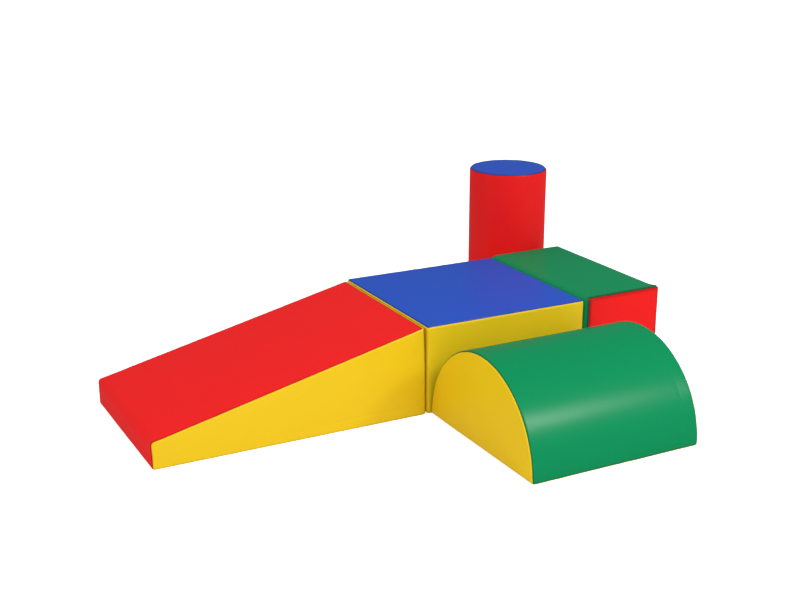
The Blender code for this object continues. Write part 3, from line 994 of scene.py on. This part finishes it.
def paint_weave(tree, shader, marks, colours, roughness, strength, depth):
    """Black woven tape, with its ribs across the zip in every direction that a tape runs."""
    weave = {"Scale": marks, "Randomness": RIB_DISORDER_SHARE}
    ribs = pattern(tree, "Voronoi", weave, distance="CHEBYCHEV").outputs["Distance"]
    two_colours(tree, shader, ribs, colours)
    emboss(tree, shader, ribs, strength, depth, invert=True)
    feed(tree, shader, {"Roughness": roughness})


def paint_streaks(tree, shader, marks, colours, roughness, metallic):
    """A hard small part: faint streaks in its colour and its gloss."""
    streaks = pattern(tree, "Noise", {"Scale": marks, "Detail": STREAK_DETAIL}).outputs["Fac"]
    two_colours(tree, shader, streaks, colours)
    ends = {"To Min": roughness - STREAK_SPREAD, "To Max": roughness + STREAK_SPREAD}
    gloss = add_node(tree, "MapRange", {"Value": streaks, **ends})
    feed(tree, shader, {"Roughness": gloss.outputs["Result"], "Metallic": metallic})


def paint_thread(tree, shader, colour):
    """Twisted sewing thread in the colour of its cover."""
    dark = [part * THREAD["dark_share"] for part in colour]
    light = [min(1.0, part * THREAD["light_share"] + THREAD["bleach"]) for part in colour]
    paint_streaks(tree, shader, THREAD["marks"], (dark, light), THREAD["roughness"], 0.0)
    twist_facts = {"Scale": THREAD["twists"], "Distortion": 1.0}
    twist = pattern(tree, "Wave", twist_facts, bands_direction="DIAGONAL")
    emboss(tree, shader, twist.outputs["Fac"], THREAD["strength"], THREAD["depth"])


def paint_floor(tree, shader, glow):
    """A matt floor, nearly white to the camera."""
    path = add_node(tree, "LightPath")
    lit = add_node(tree, "Math", {0: path.outputs["Is Camera Ray"], 1: glow}, operation="MULTIPLY")
    feed(tree, shader, {"Base Color": PALE_FLOOR, "Roughness": FLOOR_ROUGHNESS, "Specular IOR Level": 0.0})
    feed(tree, shader, {"Emission Color": WHITE, "Emission Strength": lit.outputs["Value"]})


# One shape after another


class SOFTPLAY_OT_block(bpy.types.Operator):
    """Model the covers and the foam of the square block"""

    bl_idname = "softplay.block"
    bl_label = "Square block"

    def execute(self, context):
        size = sizes("block")
        panels = {
            "block_top_cover": ((UP,), "blue"),
            "block_front_cover": ((FRONT,), "yellow"),
            "block_back_cover": ((BACK,), "yellow"),
            "block_left_cover": ((LEFT,), "yellow"),
            "block_right_cover": ((RIGHT,), "yellow"),
            "block_base_cover": ((DOWN,), "yellow"),
        }
        low, high = span(*panels)
        middle = middle_of(low, high)
        height = high.z - size.crown
        skin = box_skin(high.x - low.x, high.y - low.y, height, height)
        mark_panels(skin, panels)
        crowns = [(UP, size.crown), (FRONT, size.side_crown), (BACK, size.side_crown)]
        flat = flat_round_zip("block", middle)
        stuff(skin, crowns + still(LEFT, RIGHT, DOWN), flat)
        sew(skin, panels)
        refine(skin)
        pucker(skin, (LEFT, RIGHT, DOWN), flat)
        dress_shape(skin, "block", panels, middle)
        return {"FINISHED"}


class SOFTPLAY_OT_ramp(bpy.types.Operator):
    """Model the covers and the foam of the ramp"""

    bl_idname = "softplay.ramp"
    bl_label = "Ramp"

    def execute(self, context):
        size = sizes("ramp")
        sides = "ramp_near_side_cover", "ramp_far_side_cover"
        low, high = span("ramp_slope_cover", *sides, "ramp_high_end_cover")
        middle = middle_of(low, high)
        length, depth = high.x - low.x, high.y - low.y
        slope = Vector((size.nose_height - size.high_end_height, 0.0, length)).normalized()
        panels = {
            "ramp_slope_cover": ((slope, LEFT, (slope + LEFT).normalized()), "red"),
            "ramp_near_side_cover": ((FRONT,), "yellow"),
            "ramp_far_side_cover": ((BACK,), "yellow"),
            "ramp_high_end_cover": ((RIGHT, (RIGHT + UP * 2).normalized()), "yellow"),
            "ramp_base_cover": ((DOWN,), "yellow"),
        }
        skin = box_skin(length, depth, size.nose_height, size.high_end_height, left_bend=size.nose_bend)
        with editing(skin):
            slice_for_line(UP, size.crease_level)
        mark_panels(skin, panels)
        self.tighten_bend(skin, length, depth, size)
        crowns = [(slope, size.crown), (LEFT, 0.0), (FRONT, size.side_crown), (BACK, size.side_crown)]
        flat = flat_round_zip("ramp", middle)
        stuff(skin, crowns + still(RIGHT, DOWN), flat)
        self.lean_back(skin, length, size)
        self.swell_nose(skin, depth, size)
        self.crease(skin, length, depth, size)
        sew(skin, panels, quiet="ramp_high_end_cover")
        refine(skin)
        pucker(skin, (LEFT, RIGHT, DOWN), flat)
        dress_shape(skin, "ramp", panels, middle)
        return {"FINISHED"}

    def tighten_bend(self, skin, length, depth, size):
        """Tightens the bend over the nose at the sides, where the seams hold it."""
        for vert in skin.data.vertices:
            offset = Vector((vert.co.x + length / 2, 0.0, vert.co.z - size.nose_height))
            hold = (1.0 - size.bend_share) * bell(depth / 2 - abs(vert.co.y), size.bend_reach)
            hold *= 1.0 - smooth_step(offset.length / size.nose_bend - 1.0)
            vert.co -= offset * hold

    def lean_back(self, skin, length, size):
        """Leans the top of the high end back from the block."""
        for vert in skin.data.vertices:
            near_end = smooth_step((vert.co.x - length / 2 + size.lean_reach) / size.lean_reach)
            lean = near_end * (size.end_gap + size.lean * (vert.co.z / size.high_end_height) ** 2)
            vert.co.x -= lean
            vert.co.z -= lean * (size.high_end_height - size.nose_height) / length

    def swell_nose(self, skin, depth, size):
        """Swells the low end."""
        for vert, normal in with_normals(skin):
            upright = math.sin(math.pi * min(1.0, max(0.0, vert.co.z / size.nose_height)))
            across = 1.0 - min(1.0, abs(vert.co.y) * 2 / depth) ** NOSE_POWER
            vert.co.x -= size.nose_crown * max(0.0, normal.dot(LEFT)) * upright * across

    def crease(self, skin, length, depth, size):
        """Creases the near side a little above the floor, from its middle to the high end."""
        covers = sizes("covers")
        for vert in skin.data.vertices:
            if vert.co.y > -depth / 2 + covers.edge_radius / 2:
                continue
            along = smooth_step(vert.co.x / (length * CREASE_RUN_SHARE) + 0.5)
            groove = size.crease_depth * bell(vert.co.z - size.crease_level, covers.seam_depth)
            below = smooth_step((size.crease_level - vert.co.z) / size.crease_level * SKIRT_STEEP_SHARE)
            vert.co.y += along * (groove - size.skirt * below * smooth_step(vert.co.z / covers.edge_radius))


class SOFTPLAY_OT_step(bpy.types.Operator):
    """Model the covers and the foam of the step"""

    bl_idname = "softplay.step"
    bl_label = "Step"

    def execute(self, context):
        size = sizes("step")
        low, high = span("step_wrap_cover", "step_front_end_cover", "step_back_end_cover")
        middle = middle_of(low, high)
        length, depth, height = high.x - low.x, high.y - low.y, high.z - size.crown
        panels = {
            "step_wrap_cover": ((UP, LEFT * WRAP_PULL_SHARE, RIGHT), "green"),
            "step_front_end_cover": (self.let_in(FRONT), "red"),
            "step_back_end_cover": ((BACK * LET_IN_PULL_SHARE,), "red"),
            "step_base_cover": ((DOWN,), "green"),
        }
        skin = box_skin(length, depth, height, height, left_radii=(size.wrap_bend, size.upright_bend))
        mark_panels(skin, panels)
        with editing(skin):
            for way in (FRONT, BACK):
                choose("faces", lambda face: face.normal.dot(way) > END_FLAT_SHARE)
                bpy.ops.mesh.inset(thickness=size.hem, use_boundary=True, use_even_offset=True)
        crowns = [(UP, size.crown), (RIGHT, size.side_crown)]
        flat = flat_round_zip("step", middle)
        stuff(skin, crowns + still(FRONT, BACK, LEFT, DOWN), flat)
        self.pinch(skin, Vector((length / 2, -depth / 2, height)), size)
        sew(skin, panels, size.groove_depth)
        self.turn_hem(skin, length, size)
        refine(skin)
        pucker(skin, (LEFT, FRONT, BACK, DOWN), flat, size.shade_reach)
        dress_shape(skin, "step", panels, middle)
        return {"FINISHED"}

    def let_in(self, way):
        """The pulls of an end that is let into the wrap, and rolls over at its top and its right."""
        inward = way * LET_IN_PULL_SHARE
        return inward, inward + UP * ROLL_PULL_SHARE, (inward + RIGHT).normalized()

    def turn_hem(self, skin, length, size):
        """Gives the left of the ends' hems to the wrap, which is turned in there."""
        names = [material.name for material in skin.data.materials]
        for polygon in skin.data.polygons:
            on_end = names[polygon.material_index].endswith("_end_cover")
            if on_end and polygon.center.x < size.upright_bend + size.hem - length / 2:
                polygon.material_index = names.index("step_wrap_cover")

    def pinch(self, skin, corner, size):
        """Pinches the front top edge up, its right corner the most, and spreads the front right edge."""
        for vert in skin.data.vertices:
            offset = vert.co - corner
            lift = size.edge_lift * bell(offset.yz.length, size.lift_reach)
            lift += size.corner_lift * bell(offset.length, size.lift_reach)
            vert.co.x += size.edge_spread * bell(offset.xy.length, size.lift_reach)
            vert.co.z += lift


class SOFTPLAY_OT_half_round(bpy.types.Operator):
    """Model the covers and the foam of the half round"""

    bl_idname = "softplay.half_round"
    bl_label = "Half round"

    def execute(self, context):
        size = sizes("half_round")
        low, high = span("half_round_left_end_cover", "half_round_right_end_cover")
        low.x += size.end_crown
        middle = middle_of(low, high)
        length = high.x - low.x
        turns = [math.pi * number / size.arch_steps for number in range(size.arch_steps + 1)]
        bow = tuple(Vector((0.0, math.cos(turn), math.sin(turn))) for turn in turns)
        panels = {
            "half_round_curved_cover": (bow, "green"),
            "half_round_left_end_cover": ((LEFT,), "yellow"),
            "half_round_right_end_cover": ((RIGHT,), "yellow"),
            "half_round_base_cover": ((DOWN * BASE_PULL_SHARE,), "yellow"),
        }
        skin = self.arch(length, size)
        mark_panels(skin, panels)
        flat = flat_round_zip("half_round", middle)
        stuff(skin, [(LEFT, size.end_crown)] + still(UP, BACK, FRONT, RIGHT, DOWN), flat)
        self.tuck_corners(skin, length, size)
        self.print_hem(skin, length, size)
        sew(skin, panels)
        refine(skin)
        pucker(skin, (BACK, DOWN), flat)
        dress_shape(skin, "half_round", panels, middle)
        return {"FINISHED"}

    def arch(self, length, size):
        """Half an ellipse drawn out along X, on the floor, its ends divided into fans."""
        turn = (0.0, math.pi / 2, 0.0)
        skin = drum(vertices=size.arch_steps, radius=0.5, depth=length, rotation=turn)
        with editing(skin):
            bpy.ops.transform.resize(value=(1.0, size.depth, size.height * 2))
            bpy.ops.mesh.bisect(plane_co=(0, 0, 0), plane_no=UP, use_fill=True, clear_inner=True)
            shape_drum((LEFT, RIGHT), RIGHT, size.end_rings, -length / 2, length / 2)
            slice_for_line(RIGHT, length / 2 - size.hem_inset)
        tighten_base(skin)
        return skin

    def tuck_corners(self, skin, length, size):
        """Rounds the lower corners of the curved cover."""
        for vert in skin.data.vertices:
            below = max(0.0, 1.0 - vert.co.z / size.corner_radius)
            pull = size.corner_radius * (1.0 - math.sqrt(max(0.0, 1.0 - below * below)))
            for place, end in ((vert.co.x, length / 2), (vert.co.y, size.depth / 2)):
                pull *= smooth_step((abs(place) - end) / (size.corner_radius * 2) + 1.0)
            vert.co.x -= math.copysign(pull, vert.co.x)

    def print_hem(self, skin, length, size):
        """Prints the line of the hem inside, near the right end, and flares the cover past it."""
        covers = sizes("covers")
        hem_place = length / 2 - size.hem_inset
        for vert in skin.data.vertices:
            outward = Vector((0.0, vert.co.y, vert.co.z))
            on_end = abs(vert.normal.x) > CURVE_END_SHARE
            if on_end or vert.co.z < covers.edge_radius or outward.length < NEAR:
                continue
            groove = size.hem_depth * bell(vert.co.x - hem_place, covers.seam_depth)
            flare = size.flare * smooth_step((vert.co.x - hem_place) / (size.hem_inset - covers.edge_radius))
            vert.co += outward.normalized() * (flare - groove)
            vert.co.z += size.rise * max(0.0, vert.co.x * 2 / length) * vert.co.z / size.height


class SOFTPLAY_OT_cylinder(bpy.types.Operator):
    """Model the covers and the foam of the cylinder"""

    bl_idname = "softplay.cylinder"
    bl_label = "Cylinder"

    def execute(self, context):
        size = sizes("cylinder")
        low, high = span("cylinder_side_cover", "cylinder_top_cover", "cylinder_base_cover")
        middle = middle_of(low, high)
        height = high.z - size.crown + size.overfill
        turns = [math.tau * number / size.sides for number in range(size.sides)]
        around = tuple(Vector((math.cos(turn), math.sin(turn), 0.0)) for turn in turns)
        panels = {
            "cylinder_side_cover": (around, "red"),
            "cylinder_top_cover": ((UP,), "blue"),
            "cylinder_base_cover": ((DOWN,), "blue"),
        }
        skin = drum(vertices=size.sides, radius=size.diameter / 2, depth=height, location=UP * (height / 2))
        with editing(skin):
            shape_drum((UP, DOWN), UP, size.end_rings, 0.0, height)
        tighten_base(skin)
        mark_panels(skin, panels)
        flat = flat_round_zip("cylinder", middle)
        stuff(skin, [(UP, size.crown)] + still(FRONT, BACK, LEFT, RIGHT, DOWN), flat)
        self.flatten_for_zip(skin, middle)
        sew(skin, panels)
        refine(skin)
        pucker(skin, (FRONT, DOWN), flat)
        dress_shape(skin, "cylinder", panels, middle)
        return {"FINISHED"}

    def flatten_for_zip(self, skin, middle):
        """Flattens the side to the level of the zip, as wide as its tape."""
        level = zip_frame("cylinder")[0].y - middle.y
        for vert in skin.data.vertices:
            vert.co.y = min(vert.co.y, level)


# Zips


def zip_frame(body):
    """A zip's closed end on the face of its cover, the ways along, across and out of it, and its length."""
    _, along, outward = ZIPS[body]
    across = outward.cross(along)
    low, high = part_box(f"{body}_zip_tape")
    middle = (low + high) / 2
    chain_low, chain_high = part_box(f"{body}_zip_chain")
    length = abs((chain_high - chain_low).dot(along))
    face = (high if outward.dot(Vector((1, 1, 1))) > 0 else low).dot(outward)
    face += sizes("covers").thickness + sizes("covers").clearance
    origin = middle - along * length / 2
    origin += outward * (face - middle.dot(outward))
    return origin, along, across, outward, length


def zip_matrix(body):
    """From a zip's own frame, along, across and out of its cover, to the set's frame."""
    origin, along, across, outward, _ = zip_frame(body)
    turn = Matrix((along, across, outward)).transposed().to_4x4()
    return Matrix.Translation(origin) @ turn


def box_in_zip(body, part):
    """The lowest and highest corners of a part in its zip's own frame."""
    inverse = zip_matrix(body).inverted()
    node = f"{body}_zip_{part}"
    first, second = (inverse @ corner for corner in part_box(node))
    low = Vector([min(pair) for pair in zip(first, second)])
    high = Vector([max(pair) for pair in zip(first, second)])
    return low, high


def flat_round_zip(body, middle):
    """A function of a place in the skin's frame: 0 round a zip, where its cover lies flat, and 1 away."""
    origin, along, across, outward, length = zip_frame(body)
    origin = origin - middle
    reach, flat_share = sizes("zips").flat_reach, sizes("zips").flat_share

    def keep(place):
        offset = place - origin
        if abs(offset.dot(outward)) > reach / 2:
            return 1.0
        run = offset.dot(along)
        past = max(0.0, -run, run - length)
        beside = math.hypot(past, offset.dot(across))
        return smooth_step(beside / reach - flat_share)

    return keep


def open_slot(panel, body):
    """Opens the cover for its zip, with a strip of the cover along each edge of the opening."""
    zips = sizes("zips")
    origin, along, across, outward, length = zip_frame(body)
    half, margin = zips.slot_width / 2, zips.slot_margin
    strip = zips.slot_lip * SLOT_STRIP_SHARE

    def near(face):
        for place in [face.calc_center_median(), *(vert.co for vert in face.verts)]:
            offset = place - origin
            past = max(0.0, -offset.dot(along), offset.dot(along) - length)
            if math.hypot(past, offset.dot(across)) > zips.flat_reach or abs(offset.dot(outward)) > NEAR:
                return False
        return face.normal.dot(outward) > FLAT_SHARE

    def in_slot(face):
        offset = face.calc_center_median() - origin
        inside = -margin < offset.dot(along) < length + margin
        return inside and abs(offset.dot(across)) < half and face.normal.dot(outward) > FACING_SHARE

    rows = [(across, side * place) for side in (-1, 1) for place in (half, half + strip)]
    rows += [(along, -margin), (along, length + margin)]
    rows += [(along, -margin - strip), (along, length + margin + strip)]
    with editing(panel):
        choose("faces", near)
        bpy.ops.mesh.dissolve_faces(use_verts=False)
        for way, place in rows:
            choose("faces", near)
            bpy.ops.mesh.bisect(plane_co=origin + way * place, plane_no=way)
        choose("faces", in_slot)
        bpy.ops.mesh.delete(type="FACE")


def fold_lip(panel, body):
    """Rounds the folded edge of a zip's opening."""
    zips = sizes("zips")
    inverse = zip_matrix(body).inverted()
    length = zip_frame(body)[4]

    def on_lip(edge):
        middle = inverse @ ((edge.verts[0].co + edge.verts[1].co) / 2)
        in_reach = abs(middle.y) < zips.slot_width and -zips.slot_width < middle.x < length + zips.slot_width
        return in_reach and abs(middle.z) < NEAR and is_shape_edge(edge)

    with editing(panel):
        if not choose("edges", on_lip):
            raise RuntimeError(f"{panel.name} has no opening")
        bpy.ops.mesh.bevel(offset=zips.slot_lip, segments=zips.lip_steps, affect="EDGES")


def bar(low, high, edge=0.0):
    """A bar between two corners, with bevelled edges where a bevel is given."""
    obj = add_primitive(bpy.ops.mesh.primitive_cube_add, "bar", size=1.0)
    low, high = Vector(low), Vector(high)
    with editing(obj):
        bpy.ops.transform.resize(value=high - low)
        bpy.ops.transform.translate(value=(low + high) / 2)
        if edge > 0.0:
            bpy.ops.mesh.bevel(offset=edge, segments=1, affect="EDGES")
    return obj


def cut_or_add(obj, tool, operation):
    """Cuts a tool out of a piece or adds it, and clears the tool away."""
    apply_modifier(obj, "BOOLEAN", object=tool, operation=operation, solver="EXACT")
    bpy.data.objects.remove(tool)


def repeat(obj, count, step):
    """Repeats a piece along X."""
    offset = {"use_relative_offset": False, "use_constant_offset": True}
    apply_modifier(obj, "ARRAY", count=count, **offset, constant_offset_displace=(step, 0.0, 0.0))


class SOFTPLAY_OT_zips(bpy.types.Operator):
    """Model the tape, the teeth, the slider and the stitches of each zip"""

    bl_idname = "softplay.zips"
    bl_label = "Zips"

    def execute(self, context):
        for body in ZIPS:
            self.add_tape(body, sizes("zips"))
            self.add_teeth(body, sizes("zips"))
            self.add_slider(body, sizes("zips"))
            self.add_stitches(body, sizes("zips"))
        return {"FINISHED"}

    def add_tape(self, body, zips):
        """Woven tape with a bead along each side of the teeth."""
        low, high = box_in_zip(body, "tape")
        name = f"{body}_zip_tape_weave"
        long_steps = round((high.x - low.x) / zips.tape_step)
        wide_steps = round((high.y - low.y) / zips.bead_width) * BEAD_STEPS
        steps = {"x_subdivisions": long_steps, "y_subdivisions": wide_steps}
        tape = add_primitive(bpy.ops.mesh.primitive_grid_add, name, **steps, size=1.0)
        with editing(tape):
            bpy.ops.transform.resize(value=(high.x - low.x, high.y - low.y, 1.0))
            bpy.ops.transform.translate(value=((low.x + high.x) / 2, (low.y + high.y) / 2, high.z))
        beside = zips.tooth_width / 2 + zips.bead_width / 2
        for vert in tape.data.vertices:
            vert.co.z += zips.bead_height * bell(abs(vert.co.y) - beside, zips.bead_width / 2)
            vert.co.z += zips.tape_ripple * (noise.noise(vert.co / zips.tape_step / RIPPLE_STEPS) - 1.0)
        apply_modifier(tape, "SOLIDIFY", thickness=high.z - low.z - zips.tape_ripple * 2, offset=-1.0)
        settle(tape, zip_matrix(body))
        bpy.ops.object.shade_smooth_by_angle(angle=SMOOTH_ANGLE)
        material = material_of("woven_tape", paint_weave, TAPE)
        finish_piece(tape, name, body, material, [f"{body}_zip_tape"])

    def add_teeth(self, body, zips):
        """Interlocked teeth between two end stops."""
        low, high = box_in_zip(body, "chain")
        half = zips.tooth_width / 2
        free = high.x - low.x - 2 * zips.stop_length
        pairs = round(free / zips.tooth_pitch / 2)
        pitch = free / pairs / 2
        tooth_half = pitch * TOOTH_HALF_SHARE
        pair = []
        for number, side in enumerate((-1, 1)):
            near = (-tooth_half, -half + zips.tooth_shift * (1 + side), low.z)
            far = (tooth_half, half - zips.tooth_shift * (1 - side), high.z)
            tooth = bar(near, far, zips.tooth_edge)
            tooth.rotation_euler.z = side * zips.tooth_turn
            tooth.location.x = low.x + zips.stop_length + pitch * (number + 0.5)
            settle(tooth, tooth.matrix_basis)
            pair.append(tooth)
        teeth = join(pair)
        repeat(teeth, pairs, 2 * pitch)
        stops = []
        for start in (low.x, high.x - zips.stop_length):
            end = start + zips.stop_length
            stops.append(bar((start, low.y, low.z), (end, high.y, high.z), zips.tooth_edge * 2))
        teeth = join([teeth, *stops])
        settle(teeth, zip_matrix(body))
        material = material_of("zip_nylon", paint_streaks, NYLON)
        finish_piece(teeth, f"{body}_zip_teeth", body, material, [f"{body}_zip_chain"])

    def add_slider(self, body, zips):
        """Slider over the teeth: narrower behind, with a channel under it and a bridge on it."""
        low, high = box_in_zip(body, "slider")
        long, wide = high.x - low.x, high.y - low.y
        middle = (low.x + high.x) / 2
        ceiling = box_in_zip(body, "chain")[1].z + sizes("covers").clearance
        top = ceiling + zips.slider_wall
        slider = bar(low, (high.x, high.y, top), zips.slider_edge)
        with editing(slider):
            choose("verts", lambda vert: vert.co.x < middle)
            bpy.ops.transform.resize(value=(1.0, zips.slider_taper, 1.0), center_override=(middle, 0.0, top))
        channel = (zips.tooth_width + zips.slider_play) / 2
        tool = bar((low.x * 2 - high.x, -channel, low.z * 2), (high.x * 2 - low.x, channel, ceiling))
        cut_or_add(slider, tool, "DIFFERENCE")
        start, end = low.x + long * BRIDGE_INSET_SHARE, high.x - long * BRIDGE_INSET_SHARE
        half = wide * BRIDGE_HALF_SHARE
        wall = zips.slider_wall
        bridge = bar((start, -half, ceiling), (end, half, high.z), zips.slider_edge)
        tool = bar((start + wall, low.y, top + zips.slider_edge / 2), (end - wall, high.y, high.z - wall / 2))
        cut_or_add(bridge, tool, "DIFFERENCE")
        cut_or_add(slider, bridge, "UNION")
        apply_modifier(slider, "BEVEL", width=zips.slider_edge / 3, segments=2, limit_method="ANGLE")
        settle(slider, zip_matrix(body))
        bpy.ops.object.shade_smooth_by_angle(angle=SMOOTH_ANGLE)
        material = material_of("zip_metal", paint_streaks, METAL)
        nodes = [f"{body}_zip_slider"]
        finish_piece(slider, f"{body}_zip_runner", f"{body}_slider", material, nodes)

    def add_stitches(self, body, zips):
        """A row of stitches round the opening, through the cover and the tape."""
        low, high = box_in_zip(body, "chain")
        beside = zips.slot_width / 2 + zips.stitch_inset
        start = low.x - zips.slot_margin - zips.stitch_inset
        end = high.x + zips.slot_margin + zips.stitch_inset
        turned = Matrix.Rotation(math.pi / 2, 4, "Z")
        places = [(end - start, Matrix.Translation((start, side * beside, 0.0))) for side in (-1, 1)]
        for place in (start, end):
            places.append((beside * 2, Matrix.Translation((place, -beside, 0.0)) @ turned))
        rows = []
        for length, matrix in places:
            row = self.stitch_row(zips, length)
            settle(row, matrix)
            rows.append(row)
        stitches = join(rows)
        settle(stitches, zip_matrix(body))
        bpy.ops.object.shade_smooth()
        colour_name = {"step": "green", "cylinder": "red"}.get(body, "yellow")
        facts = {"colour": getattr(sizes("finishes"), colour_name)}
        material = material_of(f"{colour_name}_thread", paint_thread, facts)
        finish_piece(stitches, f"{body}_zip_stitches", body, material)

    def stitch_row(self, zips, length):
        """A straight row of stitches along X."""
        steps = {"segments": STITCH_STEPS, "ring_count": STITCH_STEPS}
        stitch = add_primitive(bpy.ops.mesh.primitive_uv_sphere_add, "stitch", **steps, radius=0.5)
        with editing(stitch):
            bpy.ops.transform.rotate(value=math.pi / 2, orient_axis="Y", center_override=(0.0, 0.0, 0.0))
            bpy.ops.transform.resize(value=(zips.stitch_length, zips.thread, zips.thread))
            lift = zips.thread * STITCH_LIFT_SHARE
            bpy.ops.transform.translate(value=(zips.stitch_pitch / 2, 0.0, lift))
        count = max(2, round(length / zips.stitch_pitch))
        repeat(stitch, count, length / count)
        return stitch


# Stage


class SOFTPLAY_OT_stage(bpy.types.Operator):
    """Set the camera, the lights and the floor"""

    bl_idname = "softplay.stage"
    bl_label = "Stage"

    def execute(self, context):
        stage = sizes("stage")
        self.add_camera(context.scene, stage)
        self.add_sky(context.scene, stage)
        key = stage.key_turn, stage.key_height, stage.key_size
        self.add_light("key light", stage, *key, stage.key_power)
        gleam = self.add_light("gleam light", stage, *key, stage.gleam_power)
        gleam.visible_diffuse = False
        for name, (turn, height) in FILLS.items():
            power = getattr(stage, f"{name}_power")
            place = math.radians(turn), math.radians(height)
            fill = self.add_light(f"{name} fill", stage, *place, stage.fill_size, power)
            fill.visible_glossy = False
        self.add_floor(stage)
        context.scene.view_settings.view_transform = "Standard"
        return {"FINISHED"}

    def add_camera(self, scene, stage):
        """The camera at the photograph's place."""
        camera = bpy.data.objects.new("camera", bpy.data.cameras.new("camera"))
        camera.data.sensor_width = stage.sensor
        camera.data.lens = stage.camera_lens
        camera.data.clip_start = stage.camera_start
        camera.location = stage.camera_place
        camera.rotation_euler = (stage.camera_pitch, 0.0, stage.camera_yaw)
        scene.collection.objects.link(camera)
        scene.camera = camera

    def add_sky(self, scene, stage):
        """White surroundings, dimmer in reflections."""
        world = bpy.data.worlds.new("white studio")
        world.use_nodes = True
        tree = world.node_tree
        path = add_node(tree, "LightPath")
        seen = add_node(tree, "Mix", {"Factor": path.outputs["Is Camera Ray"], "A": stage.sky, "B": 1.0})
        mirrored_facts = {
            "Factor": path.outputs["Is Glossy Ray"],
            "A": seen.outputs["Result"],
            "B": stage.sky_gloss,
        }
        mirrored = add_node(tree, "Mix", mirrored_facts)
        feed(tree, tree.nodes["Background"], {"Color": WHITE, "Strength": mirrored.outputs["Result"]})
        scene.world = world

    def add_light(self, name, stage, turn, height, size, power):
        """A square soft box that looks at the middle of the set."""
        light = bpy.data.lights.new(name, "AREA")
        light.shape = "SQUARE"
        light.size = size
        light.energy = power
        lamp = bpy.data.objects.new(name, light)
        level = math.cos(height)
        way = Vector((math.sin(turn) * level, -math.cos(turn) * level, math.sin(height)))
        lamp.location = way * stage.light_distance
        lamp.rotation_euler = way.to_track_quat("Z", "Y").to_euler()
        bpy.context.scene.collection.objects.link(lamp)
        return lamp

    def add_floor(self, stage):
        """A wide floor just under the set."""
        floor = add_primitive(bpy.ops.mesh.primitive_plane_add, "floor", size=stage.floor_size)
        floor.location.z = -NEAR
        floor.visible_glossy = False
        floor.data.materials.append(material_of("pale_floor", paint_floor, {"glow": stage.floor_glow}))


class SOFTPLAY_PT_panel(bpy.types.Panel):
    """Lists the pieces of the set and their sizes"""

    bl_idname = "SOFTPLAY_PT_panel"
    bl_label = "Soft play climber"
    bl_space_type = "VIEW_3D"
    bl_region_type = "UI"
    bl_category = "Soft play"

    def draw(self, context):
        for operator in OPERATORS:
            self.layout.operator(operator.bl_idname)
        for name, group in SETTINGS.items():
            box = self.layout.box()
            box.label(text=group.__doc__)
            for setting in group.__annotations__:
                box.prop(sizes(name), setting)


OPERATORS = (
    SOFTPLAY_OT_stage,
    SOFTPLAY_OT_block,
    SOFTPLAY_OT_ramp,
    SOFTPLAY_OT_step,
    SOFTPLAY_OT_half_round,
    SOFTPLAY_OT_cylinder,
    SOFTPLAY_OT_zips,
)


def register():
    """Registers the settings, the operators and the panel."""
    for name, group in SETTINGS.items():
        bpy.utils.register_class(group)
        setattr(bpy.types.Scene, f"softplay_{name}", PointerProperty(type=group))
    for shown in (*OPERATORS, SOFTPLAY_PT_panel):
        bpy.utils.register_class(shown)


def unregister():
    """Takes them out again."""
    for shown in reversed((*OPERATORS, SOFTPLAY_PT_panel)):
        bpy.utils.unregister_class(shown)
    for name, group in reversed(SETTINGS.items()):
        delattr(bpy.types.Scene, f"softplay_{name}")
        bpy.utils.unregister_class(group)


def main():
    """Models the whole set."""
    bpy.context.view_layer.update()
    register()
    bpy.ops.softplay.stage()
    bpy.ops.softplay.block()
    bpy.ops.softplay.ramp()
    bpy.ops.softplay.step()
    bpy.ops.softplay.half_round()
    bpy.ops.softplay.cylinder()
    bpy.ops.softplay.zips()


if __name__ == "__main__":
    main()
